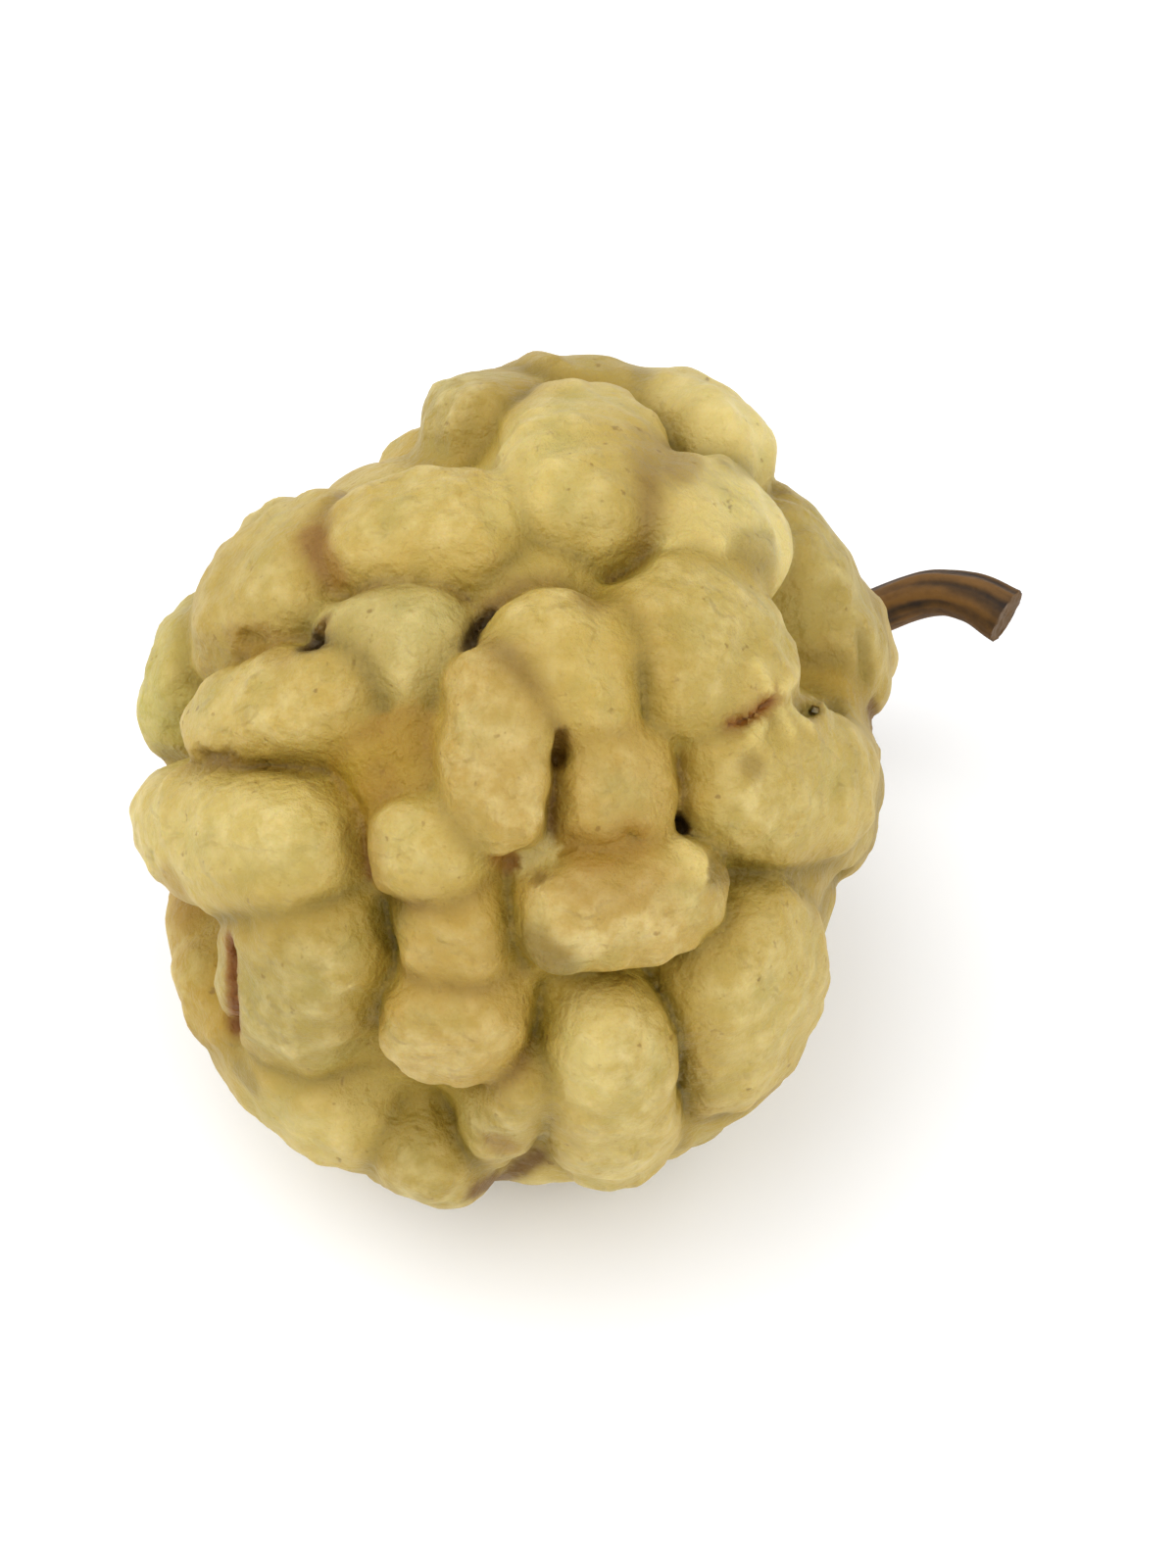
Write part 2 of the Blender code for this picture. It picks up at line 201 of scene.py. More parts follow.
CREASES = (
    # The drop-shaped pit between the left shoulder, the lens and the cheek, and the spots near it
    Crease(((-3.15, 2.12), (-3.1, 2.2)), 0.36, 0.5, 0.9, StainAndPaintedLight.BLACK),
    Crease(((-3.03, 2.34), (-2.93, 2.52)), 0.14, 0.2, 0.85, StainAndPaintedLight.BROWN),
    Crease(((-4.15, 2.24), (-3.95, 2.22)), 0.35, 0.05, 0.5, StainAndPaintedLight.AMBER),
    # Painted shade in a corner of the left shoulder
    Crease(((-3.15, 3.75), (-3.0, 4.05)), 0.4, 0.0, 0.35, StainAndPaintedLight.AMBER),
    # The pit beside the arch, and the spots round it
    Crease(((-0.64, 2.12), (-0.54, 2.4), (-0.28, 2.62)), 0.14, 0.22, 0.9, StainAndPaintedLight.BLACK),
    # These two spots are painted shade in corners where drupelets meet
    Crease(((2.7, 4.9), (2.82, 5.1)), 0.3, 0.0, 0.4, StainAndPaintedLight.BROWN),
    Crease(((1.18, 2.86), (1.35, 2.82)), 0.26, 0.0, 0.45, StainAndPaintedLight.BROWN),
    # The streaks on the crown's left, which are painted highlight
    Crease(((-0.05, 5.3), (-0.08, 4.85), (-0.02, 4.3)), 0.3, 0.0, 0.3, StainAndPaintedLight.PALE_BLOOM_AND_HIGHLIGHT),
    Crease(((0.47, 5.4), (0.45, 4.5)), 0.3, 0.0, 0.3, StainAndPaintedLight.PALE_BLOOM_AND_HIGHLIGHT),
    Crease(((3.5, 5.02), (3.62, 4.98)), 0.3, 0.0, 0.35, StainAndPaintedLight.OLIVE),
    # Beside the tongue and below it
    Crease(((0.8, 0.75), (0.79, 0.35)), 0.16, 0.2, 0.85, StainAndPaintedLight.BROWN),
    Crease(((-0.12, -1.2), (0.02, -1.24)), 0.2, 0.15, 0.7, StainAndPaintedLight.RUST),
    # Round the heart
    Crease(((2.7, -0.7), (2.74, -0.76)), 0.26, 0.4, 0.95, StainAndPaintedLight.BLACK),
    # The saddle: its pale horns, partly a sugary coat and partly painted highlight, the amber on its top, and the
    # channel at its left
    Crease(((0.28, -1.25), (0.6, -1.1)), 0.28, -0.06, 0.5, StainAndPaintedLight.PALE_BLOOM_AND_HIGHLIGHT),
    Crease(((2.75, -1.05), (3.0, -1.35)), 0.28, -0.05, 0.45, StainAndPaintedLight.PALE_BLOOM_AND_HIGHLIGHT),
    Crease(((1.15, -1.0), (1.4, -1.2), (1.9, -0.9)), 0.4, 0.0, 0.7, StainAndPaintedLight.AMBER),
    Crease(((1.2, -1.5), (1.5, -1.65), (1.95, -1.5)), 0.5, 0.0, 0.35, StainAndPaintedLight.AMBER),
    Crease(((1.85, -0.85), (2.0, -0.9)), 0.16, 0.05, 0.5, StainAndPaintedLight.BROWN),
    Crease(((0.46, -1.5), (0.5, -1.52)), 0.1, 0.04, 0.5, StainAndPaintedLight.BROWN),
    # Painted shade in the corner where the saddle, the upper eight and the keel meet
    Crease(((0.35, -2.65), (0.7, -2.95)), 0.5, 0.0, 0.6, StainAndPaintedLight.OLIVE),
    Crease(((3.2, -1.42), (3.5, -1.35), (3.8, -1.35)), 0.3, 0.0, 0.6, StainAndPaintedLight.OLIVE),
    # The slit at the foot of the right shoulder, and the pale puckers round it, partly a sugary coat and partly
    # painted highlight
    Crease(((3.5, 0.92), (3.9, 1.11), (4.15, 1.33)), 0.2, 0.0, 0.4, StainAndPaintedLight.RUST),
    Crease(((3.5, 0.94), (3.78, 1.0), (3.95, 1.14), (4.16, 1.34)), 0.09, 0.22, 1.0, StainAndPaintedLight.RUST),
    Crease(((4.05, 1.5), (3.9, 1.8)), 0.1, -0.04, 0.5, StainAndPaintedLight.PALE_BLOOM_AND_HIGHLIGHT),
    Crease(((4.3, 1.45), (4.5, 1.7)), 0.1, -0.04, 0.5, StainAndPaintedLight.PALE_BLOOM_AND_HIGHLIGHT),
    Crease(((4.25, 1.1), (4.4, 0.8)), 0.1, -0.04, 0.5, StainAndPaintedLight.PALE_BLOOM_AND_HIGHLIGHT),
    Crease(((4.4, 1.15), (4.68, 0.9)), 0.1, -0.04, 0.5, StainAndPaintedLight.PALE_BLOOM_AND_HIGHLIGHT),
    Crease(((3.95, 0.92), (3.82, 0.68)), 0.1, -0.04, 0.5, StainAndPaintedLight.PALE_BLOOM_AND_HIGHLIGHT),
    # The shoulder's spots: painted shade in a corner and a pale raised fold, partly a sugary coat and partly painted
    # highlight; and those at the right rim
    Crease(((3.88, 3.66), (4.12, 3.66)), 0.45, 0.0, 0.4, StainAndPaintedLight.OLIVE),
    Crease(((2.5, 3.7), (3.3, 3.74)), 0.12, -0.05, 0.55, StainAndPaintedLight.PALE_BLOOM_AND_HIGHLIGHT),
    Crease(((4.7, 1.1), (5.2, 1.2)), 0.2, 0.07, 0.55, StainAndPaintedLight.OLIVE),
    Crease(((5.6, 2.3), (5.7, 1.7)), 0.2, 0.05, 0.35, StainAndPaintedLight.OLIVE),
    Crease(((5.75, 1.25), (5.82, 0.95), (5.82, 0.7)), 0.1, 0.03, 0.9, StainAndPaintedLight.BROWN),
    Crease(((3.78, 0.24), (3.84, 0.22)), 0.2, 0.0, 0.35, StainAndPaintedLight.BROWN),
    Crease(((5.2, -1.5), (5.35, -1.45)), 0.2, 0.07, 0.4, StainAndPaintedLight.OLIVE),
    # Between the lens and the flank, and the amber painted shade left of the tip
    Crease(((-4.8, 0.42), (-4.4, 0.42)), 0.14, 0.05, 0.6, StainAndPaintedLight.BROWN),
    Crease(((-2.0, 0.15), (-2.05, -0.35)), 0.3, 0.0, 0.5, StainAndPaintedLight.AMBER),
    Crease(((-1.85, 0.75), (-1.6, 0.65)), 0.4, 0.0, 0.3, StainAndPaintedLight.AMBER),
    Crease(((-5.3, -1.6), (-5.2, -2.0)), 0.4, 0.0, 0.5, StainAndPaintedLight.AMBER),
    # Painted amber shade along the bead's left
    Crease(((-2.25, -0.15), (-2.2, -0.9), (-2.1, -1.6)), 0.3, 0.0, 0.45, StainAndPaintedLight.AMBER),
    Crease(((-3.1, 3.85), (-2.95, 3.6), (-2.75, 3.3)), 0.3, 0.0, 0.55, StainAndPaintedLight.RUST),
    Crease(((-4.3, 2.25), (-3.9, 2.2), (-3.5, 2.0)), 0.3, 0.0, 0.4, StainAndPaintedLight.AMBER),
    # Below the bead, and round the two drupelets under it
    # Painted shade in the corner below the bead
    Crease(((-1.8, -1.95), (-1.85, -2.3)), 0.4, 0.0, 0.6, StainAndPaintedLight.OLIVE),
    Crease(((-0.2, -5.65), (-0.1, -5.75)), 0.25, 0.0, 0.4, StainAndPaintedLight.RUST),
    Crease(((-0.55, -6.5), (-0.05, -6.25), (0.42, -5.95)), 0.18, 0.0, 0.9, StainAndPaintedLight.BROWN),
    # The slit in the left jaw, the spot below it, and a pale streak of painted highlight down the keel
    Crease(((-4.42, -2.55), (-4.4, -3.2), (-4.36, -3.9)), 0.16, 0.2, 1.0, StainAndPaintedLight.RUST),
    Crease(((-4.25, -4.65), (-4.15, -4.75)), 0.3, 0.0, 0.5, StainAndPaintedLight.OLIVE),
    Crease(((1.25, -3.6), (1.2, -4.9)), 0.5, 0.0, 0.3, StainAndPaintedLight.PALE_BLOOM_AND_HIGHLIGHT),
)


@dataclass(frozen=True)
class Border:
    """How two neighbouring drupelets meet.

    It has how deep the line between them is, how strong its line's colour is, how far the valley beside the line has
    filled up where they grew together, and how strong the amber painted shade in the valley is.
    """

    deep: float
    share: float
    stain: StainAndPaintedLight
    filled: float = 0.0
    shade: float = 0.5


# The shade number of each border is the strength of the amber painted shade beside it, 0.5 where not given.
BORDERS = {
    ("brow", "left_cheek"): Border(0.2, 0.75, StainAndPaintedLight.BROWN),
    ("brow", "left_shoulder"): Border(0.12, 0.5, StainAndPaintedLight.BROWN),
    ("brow", "crown"): Border(0.08, 0.25, StainAndPaintedLight.OLIVE, 0.08, 0.6),
    ("crown_foot", "tip_arch"): Border(0.2, 0.8, StainAndPaintedLight.BROWN),
    ("crown_foot", "left_cheek"): Border(0.12, 0.5, StainAndPaintedLight.BROWN),
    ("crown", "right_shoulder"): Border(0.18, 0.65, StainAndPaintedLight.BROWN),
    ("crown", "right_brow"): Border(0.18, 0.65, StainAndPaintedLight.BROWN, 0.02, 0.7),
    ("crown", "crown_back"): Border(0.1, 0.55, StainAndPaintedLight.OLIVE, 0.0, 0.8),
    ("crown", "crown_left"): Border(0.12, 0.55, StainAndPaintedLight.OLIVE, 0.05, 0.85),
    ("crown", "crown_right"): Border(0.12, 0.5, StainAndPaintedLight.OLIVE, 0.0, 0.75),
    ("tip_tongue", "tip_heart"): Border(0.28, 0.95, StainAndPaintedLight.BROWN, 0.0, 0.7),
    ("tip_tongue", "tip_arch"): Border(0.12, 0.45, StainAndPaintedLight.BROWN, 0.08),
    ("tip_tongue", "saddle"): Border(0.2, 0.7, StainAndPaintedLight.BROWN, 0.0, 0.7),
    ("tip_arch", "tip_heart"): Border(0.08, 0.35, StainAndPaintedLight.AMBER, 0.12),
    ("tip_arch", "right_shoulder"): Border(0.12, 0.6, StainAndPaintedLight.OLIVE, 0.06, 0.75),
    ("tip_arch", "left_cheek"): Border(0.16, 0.6, StainAndPaintedLight.BROWN, 0.0, 0.6),
    ("tip_heart", "right_cheek"): Border(0.16, 0.65, StainAndPaintedLight.BROWN, 0.0, 0.8),
    ("tip_heart", "saddle"): Border(0.08, 0.4, StainAndPaintedLight.AMBER, 0.05, 0.7),
    ("tip_hollow", "left_flank"): Border(0.14, 0.7, StainAndPaintedLight.AMBER, 0.0, 0.95),
    ("tip_hollow", "left_lens"): Border(0.08, 0.5, StainAndPaintedLight.AMBER, 0.12, 0.9),
    ("tip_hollow", "left_cheek"): Border(0.08, 0.4, StainAndPaintedLight.AMBER, 0.12, 0.8),
    ("tip_bead", "eight_upper"): Border(0.16, 0.6, StainAndPaintedLight.BROWN, 0.04, 0.85),
    ("tip_bead", "left_flank"): Border(0.18, 0.8, StainAndPaintedLight.RUST, 0.0, 0.95),
    ("tip_bead", "tip_hollow"): Border(0.1, 0.5, StainAndPaintedLight.AMBER, 0.06, 0.9),
    ("left_lens", "left_flank"): Border(0.14, 0.6, StainAndPaintedLight.BROWN, 0.0, 0.6),
    ("left_lens", "left_shoulder"): Border(0.1, 0.45, StainAndPaintedLight.BROWN, 0.06),
    ("left_lens", "left_cheek"): Border(0.1, 0.45, StainAndPaintedLight.OLIVE, 0.0, 0.6),
    ("left_flank", "left_jaw"): Border(0.1, 0.5, StainAndPaintedLight.OLIVE, 0.08, 0.75),
    ("left_jaw", "left_rim_lower"): Border(0.25, 0.95, StainAndPaintedLight.RUST, 0.0, 0.9),
    ("left_jaw", "eight_upper"): Border(0.3, 0.9, StainAndPaintedLight.OLIVE, 0.0, 0.95),
    ("left_jaw", "eight_lower"): Border(0.2, 0.7, StainAndPaintedLight.OLIVE, 0.0, 0.9),
    ("left_jaw", "left_chin"): Border(0.08, 0.4, StainAndPaintedLight.OLIVE, 0.1, 0.7),
    ("eight_upper", "saddle"): Border(0.24, 0.8, StainAndPaintedLight.OLIVE, 0.0, 0.95),
    ("eight_upper", "eight_lower"): Border(0.06, 0.35, StainAndPaintedLight.BROWN, 0.06, 0.7),
    ("eight_lower", "keel"): Border(0.2, 0.75, StainAndPaintedLight.OLIVE, 0.0, 0.9),
    ("eight_lower", "seedling"): Border(0.14, 0.6, StainAndPaintedLight.BROWN, 0.0, 0.8),
    ("eight_lower", "bottom_bump"): Border(0.12, 0.5, StainAndPaintedLight.OLIVE, 0.0, 0.8),
    ("seedling", "bottom_bump"): Border(0.14, 0.55, StainAndPaintedLight.OLIVE, 0.0, 0.7),
    ("saddle", "keel"): Border(0.18, 0.65, StainAndPaintedLight.OLIVE, 0.0, 0.9),
    ("saddle", "right_jaw"): Border(0.12, 0.55, StainAndPaintedLight.OLIVE, 0.0, 0.8),
    ("saddle", "right_hollow"): Border(0.14, 0.6, StainAndPaintedLight.OLIVE, 0.0, 0.85),
    ("keel", "right_jaw"): Border(0.18, 0.75, StainAndPaintedLight.OLIVE, 0.0, 0.85),
    ("right_jaw", "right_chin"): Border(0.1, 0.5, StainAndPaintedLight.OLIVE, 0.08, 0.8),
    ("right_shoulder", "right_rim_upper"): Border(0.12, 0.55, StainAndPaintedLight.BROWN, 0.08, 0.7),
    ("right_shoulder", "right_brow"): Border(0.05, 0.2, StainAndPaintedLight.OLIVE, 0.12, 0.6),
    ("right_cheek", "right_rim"): Border(0.04, 0.25, StainAndPaintedLight.OLIVE, 0.1),
    ("right_brow", "crown_right"): Border(0.06, 0.4, StainAndPaintedLight.OLIVE, 0.06),
    ("right_brow", "right_rim_upper"): Border(0.06, 0.35, StainAndPaintedLight.OLIVE, 0.06),
    ("left_shoulder", "left_rim_back"): Border(0.04, 0.2, StainAndPaintedLight.OLIVE, 0.1),
    ("brow", "far_bump"): Border(0.06, 0.35, StainAndPaintedLight.OLIVE, 0.06),
    ("tip_tongue", "tip_hollow"): Border(0.1, 0.5, StainAndPaintedLight.AMBER, 0.06, 0.8),
    ("left_lens", "left_rim_upper"): Border(0.08, 0.4, StainAndPaintedLight.OLIVE, 0.04),
    ("right_cheek", "right_hollow"): Border(0.12, 0.5, StainAndPaintedLight.OLIVE, 0.06, 0.85),
}
PLAIN_BORDER = Border(0.08, 0.35, StainAndPaintedLight.OLIVE, 0.05, 0.6)


def linear(colour: str) -> tuple[float, float, float, float]:
    """Turns an sRGB hex colour to linear red, green, blue and alpha.

    Args:
        colour: the colour, as "#RRGGBB".

    Returns:
        Four numbers from 0 to 1.
    """
    parts = [int(colour[i : i + 2], 16) / 255.0 for i in (1, 3, 5)]
    flat = [p / 12.92 if p <= 0.04045 else ((p + 0.055) / 1.055) ** 2.4 for p in parts]
    return (flat[0], flat[1], flat[2], 1.0)


def smooth_step(low: float, high: float, value: Points) -> Points:
    """Rises from 0 at low to 1 at high, level at both ends."""
    share = np.clip((value - low) / (high - low), 0.0, 1.0)
    return share * share * (3.0 - 2.0 * share)


def berry_turn() -> Matrix:
    """The rotation from the berry's right, up and front to the world."""
    return Matrix.Rotation(math.radians(90.0 - FRONT_RISE), 3, "X")


def in_world(right: float, up: float, front: float) -> np.ndarray:
    """A place on the berry, in the world, in millimetres."""
    return np.array(MIDDLE + berry_turn() @ Vector((right, up, front)))


@dataclass
class Grain:
    """Seeded smooth noise in space, which shapes the skin."""

    seed: int
    order: np.ndarray = field(init=False)
    slopes: np.ndarray = field(init=False)

    def __post_init__(self) -> None:
        """Draws the lattice's order and slopes."""
        draw = np.random.default_rng(self.seed)
        self.order = np.tile(draw.permutation(256), 2)
        slopes = draw.normal(size=(256, 3))
        self.slopes = slopes / np.linalg.norm(slopes, axis=1)[:, None]

    def at(self, points: Points) -> Points:
        """The noise at some points.

        Args:
            points: an (n, 3) array, where the lattice has a spacing of 1.

        Returns:
            n values, mostly from -0.7 to 0.7.
        """
        cell = np.floor(points).astype(np.int64)
        inner = points - cell
        fade = inner**3 * (inner * (inner * 6.0 - 15.0) + 10.0)
        cell &= 255
        total = np.zeros(len(points))
        for corner in np.ndindex(2, 2, 2):
            x, y, z = ((cell + corner) & 255).T
            slope = self.slopes[self.order[self.order[self.order[x] + y] + z]]
            share = np.prod(np.where(corner, fade, 1.0 - fade), axis=1)
            total += share * ((inner - corner) * slope).sum(axis=1)
        return total


@dataclass
class Drupelet:
    """A drupelet placed on the berry: its middle, its directions across, along and out, its half sizes and tone."""

    name: str
    middle: Vector
    directions: Matrix
    half: Vector
    tone: Tone

    def raised(self, height: float) -> "Drupelet":
        """The same drupelet, moved straight up in the world."""
        up = berry_turn().transposed() @ Vector((0.0, 0.0, 1.0))
        return Drupelet(self.name, self.middle + up * height, self.directions, self.half, self.tone)

    def lowest(self) -> float:
        """The height of its lowest point over the surface."""
        up = berry_turn().transposed() @ Vector((0.0, 0.0, 1.0))
        reach = Vector(h * d.dot(up) for h, d in zip(self.half, self.directions.col)).length
        return MIDDLE.z + self.middle.dot(up) - reach

    def unit_places(self, points: Points) -> Points:
        """Where world points lie in the drupelet's own directions, as shares of its half sizes."""
        middle = np.array(MIDDLE + berry_turn() @ self.middle)
        directions = np.array(berry_turn() @ self.directions)
        return ((points - middle) @ directions) / np.array(self.half)

    def distance(self, points: Points) -> tuple[Points, Points]:
        """How far world points are outside the drupelet.

        Args:
            points: an (n, 3) array in millimetres.

        Returns:
            n distances, less than 0 inside, and the points' unit places.
        """
        unit = self.unit_places(points)
        side = PRESSED_WIDER * (1.0 - ROOT_TAPER * np.clip(-unit[:, 2], 0.0, 1.0))
        x, y, z = np.maximum(np.abs(unit.T / np.stack([side, side, np.ones_like(side)])), 1e-6)
        round_size = (x**SQUARE + y**SQUARE) ** (1.0 / SQUARE)
        size = (round_size**FLAT + z**FLAT) ** (1.0 / FLAT)
        lean = (round_size / size) ** (FLAT - 1.0)
        steep = np.stack(
            [
                lean * (x / round_size) ** (SQUARE - 1.0) / (self.half.x * side),
                lean * (y / round_size) ** (SQUARE - 1.0) / (self.half.y * side),
                (z / size) ** (FLAT - 1.0) / self.half.z,
            ]
        )
        return (size - 1.0) / np.linalg.norm(steep, axis=0), unit

    def span(self) -> tuple[np.ndarray, np.ndarray]:
        """The lowest and highest corner of its box in the world."""
        middle = np.array(MIDDLE + berry_turn() @ self.middle)
        directions = np.array(berry_turn() @ self.directions)
        reach = np.sqrt(((directions * np.array(self.half)) ** 2).sum(axis=1)) * PRESSED_WIDER * 1.1
        return middle - reach, middle + reach


def out_of(place: Vector) -> Vector:
    """The way out of the berry at a place near its surface."""
    depth = HALF_FRONT if place.z > 0.0 else HALF_BACK
    slope = Vector((place.x / HALF_RIGHT**2, place.y / HALF_UP**2, place.z / depth**2))
    return slope.normalized()


def drupelet_at(name: str, middle: Vector, wide: float, tall: float, lean: float, tone: Tone) -> Drupelet:
    """A drupelet whose middle is at a place, with its crown looking out of the berry."""
    out = out_of(middle)
    across = Vector((1.0, 0.0, 0.0)) - out * out.x
    if across.length < LEAST_ACROSS:
        across = Vector((0.0, 1.0, 0.0)).cross(out)
    across.normalize()
    along = out.cross(across)
    spin = Matrix.Rotation(math.radians(-lean), 3, out)
    directions = Matrix((spin @ across, spin @ along, out)).transposed()
    towards_tip = Vector((0.0, 0.0, 1.0)) - out * out.z
    aslant = RIM_STRETCH * (1.0 - abs(out.z)) / max(towards_tip.length, LEAST_ASLANT) ** 2
    wider = 1.0 + aslant * towards_tip.dot(directions.col[0]) ** 2
    taller = 1.0 + aslant * towards_tip.dot(directions.col[1]) ** 2
    half = Vector((wide * wider / 2 * BULGE, tall * taller / 2 * BULGE, DEPTH_SHARE * (wide + tall)))
    return Drupelet(name, middle, directions, half, tone)


def front_drupelets() -> list[Drupelet]:
    """The drupelets of the front."""
    placed = []
    for seen in FRONT:
        share = (seen.right / HALF_RIGHT) ** 2 + (seen.up / HALF_UP) ** 2
        front = HALF_FRONT * math.sqrt(max(0.0, 1.0 - share)) + seen.lift
        middle = Vector((seen.right, seen.up, front))
        placed.append(drupelet_at(seen.name, middle, seen.wide, seen.tall, seen.lean, seen.tone))
    return placed


def foot_drupelets() -> list[Drupelet]:
    """The three drupelets that the berry rests on."""
    placed = []
    for number, (x, y) in enumerate(FEET):
        under = berry_turn().transposed() @ Vector((x, y, -HALF_BACK))
        foot = drupelet_at(f"foot_{number}", under, FOOT_WIDE, FOOT_TALL, 0.0, Tone.GOLD)
        placed.append(foot.raised(-FOOT_PRESSED - foot.lowest()))
    return placed


def back_places() -> list[Vector]:
    """Places spread evenly over the back."""
    places = []
    for number in range(BACK_PLACES):
        front = BACK_START - (1.0 + BACK_START) * (number + 0.5) / BACK_PLACES
        around = math.radians(GOLDEN_ANGLE * number)
        ring = BACK_SHRINK * math.sqrt(1.0 - front**2)
        place = (HALF_RIGHT * ring * math.cos(around), HALF_UP * ring * math.sin(around), HALF_BACK * front)
        places.append(Vector(place))
    return places


def back_drupelets(placed: list[Drupelet]) -> list[Drupelet]:
    """The drupelets of the back, each in the middle of the widest gap that is left.

    Args:
        placed: the drupelets that are there already.

    Returns:
        The new drupelets.
    """
    draw = random.Random(BACK_SEED)
    tones = random.Random(BACK_SEED)
    places = back_places()
    gaps = [min((place - other.middle).length for other in placed) for place in places]
    added = []
    while max(gaps) > BACK_GAP:
        middle = places[gaps.index(max(gaps))]
        gaps = [min(gap, (place - middle).length) for gap, place in zip(gaps, places)]
        wide, tall = draw.uniform(*BACK_WIDE), draw.uniform(*BACK_TALL)
        lifted = middle + out_of(middle) * draw.uniform(-BACK_LIFT, BACK_LIFT)
        lean = draw.uniform(-BACK_LEAN, BACK_LEAN)
        tone = tones.choice((Tone.GOLD, Tone.TAN, Tone.OLIVE, Tone.PALE, Tone.GOLD, Tone.ROSY))
        drupelet = drupelet_at(f"back_{len(added)}", lifted, wide, tall, lean, tone)
        added.append(drupelet.raised(max(0.0, CLEAR_OF_SURFACE - drupelet.lowest())))
    return added


@dataclass
class DistanceField:
    """Distances to the berry's skin, on a grid of points in the world."""

    low: np.ndarray
    high: np.ndarray
    step: float
    near: np.ndarray = field(init=False)
    first: np.ndarray = field(init=False)
    second: np.ndarray = field(init=False)
    first_of: np.ndarray = field(init=False)
    second_of: np.ndarray = field(init=False)

    def __post_init__(self) -> None:
        """Makes the empty grids."""
        shape = tuple(np.ceil((self.high - self.low) / self.step).astype(int) + 1)
        self.near = np.full(shape, 4.0)
        self.first = np.full(shape, 4.0)
        self.second = np.full(shape, 4.0)
        self.first_of = np.zeros(shape, np.int16)
        self.second_of = np.zeros(shape, np.int16)

    def region(self, low: np.ndarray, high: np.ndarray) -> tuple[tuple[slice, ...], Points]:
        """The part of the grid in a box.

        Args:
            low: the box's lowest corner.
            high: the box's highest corner.

        Returns:
            The slices of the grid and the world points in them.
        """
        start = np.maximum(np.floor((low - self.low) / self.step).astype(int), 0)
        stop = np.minimum(np.ceil((high - self.low) / self.step).astype(int) + 1, self.near.shape)
        axes = [self.low[i] + self.step * np.arange(start[i], stop[i]) for i in range(3)]
        points = np.stack(np.meshgrid(*axes, indexing="ij"), axis=-1).reshape(-1, 3)
        return tuple(slice(a, b) for a, b in zip(start, stop)), points

    def join(self, where: tuple[slice, ...], distance: Points, blend: float) -> None:
        """Adds a shape to the body, rounded where it meets what is there."""
        old = self.near[where]
        new = distance.reshape(old.shape)
        mixed = np.clip(blend - np.abs(old - new), 0.0, None) / blend
        self.near[where] = np.minimum(old, new) - mixed**2 * blend / 4.0

    def rank(self, where: tuple[slice, ...], distance: Points, number: int) -> None:
        """Keeps the two smallest distances to any drupelet, and those drupelets' numbers."""
        first, second = self.first[where], self.second[where]
        first_of, second_of = self.first_of[where], self.second_of[where]
        new = distance.reshape(first.shape)
        nearest = new < first
        between = ~nearest & (new < second)
        second[nearest], second_of[nearest] = first[nearest], first_of[nearest]
        second[between], second_of[between] = new[between], number
        first[nearest], first_of[nearest] = new[nearest], number

    def carve(self, where: tuple[slice, ...], distance: Points, blend: float) -> None:
        """Takes a shape out of the body, rounded at its lip."""
        old = self.near[where]
        new = -distance.reshape(old.shape)
        mixed = np.clip(blend - np.abs(old - new), 0.0, None) / blend
        self.near[where] = np.maximum(old, new) + mixed**2 * blend / 4.0

    def even_out(self, rounds: int) -> None:
        """Evens out the distances with those of the neighbours, so that no crease is finer than the steps."""
        for _ in range(rounds):
            for axis in range(3):
                inner = np.moveaxis(self.near, axis, 0)
                inner[1:-1] = 0.25 * inner[:-2] + 0.5 * inner[1:-1] + 0.25 * inner[2:]

    def sample(self, grid: np.ndarray, points: Points) -> Points:
        """A grid's values between its points."""
        place = (points - self.low) / self.step
        place = np.clip(place, 0.0, np.array(grid.shape) - 1.001)
        cell = place.astype(int)
        share = place - cell
        total = np.zeros(len(points))
        for corner in np.ndindex(2, 2, 2):
            weight = np.prod(np.where(corner, share, 1.0 - share), axis=1)
            x, y, z = (cell + corner).T
            total += weight * grid[x, y, z]
        return total

    def slope(self, points: Points) -> Points:
        """The unit way out of the skin at some points."""
        slopes = []
        for axis in range(3):
            move = np.zeros(3)
            move[axis] = self.step
            slopes.append(self.sample(self.near, points + move) - self.sample(self.near, points - move))
        slopes = np.column_stack(slopes)
        return slopes / np.maximum(np.linalg.norm(slopes, axis=1), 1e-9)[:, None]

    def crowding(self, spread: float) -> np.ndarray:
        """How much of what lies round each point is flesh: 0.5 on a flat skin, more in a hollow, less on a bump."""
        solid = np.clip(0.5 - self.near / self.step, 0.0, 1.0)
        waves = np.fft.rfftn(solid)
        axes = [np.fft.fftfreq(n, self.step) for n in solid.shape[:2]]
        axes.append(np.fft.rfftfreq(solid.shape[2], self.step))
        x, y, z = np.meshgrid(*axes, indexing="ij", sparse=True)
        waves *= np.exp(-2.0 * (math.pi * spread) ** 2 * (x**2 + y**2 + z**2))
        return np.fft.irfftn(waves, s=solid.shape)


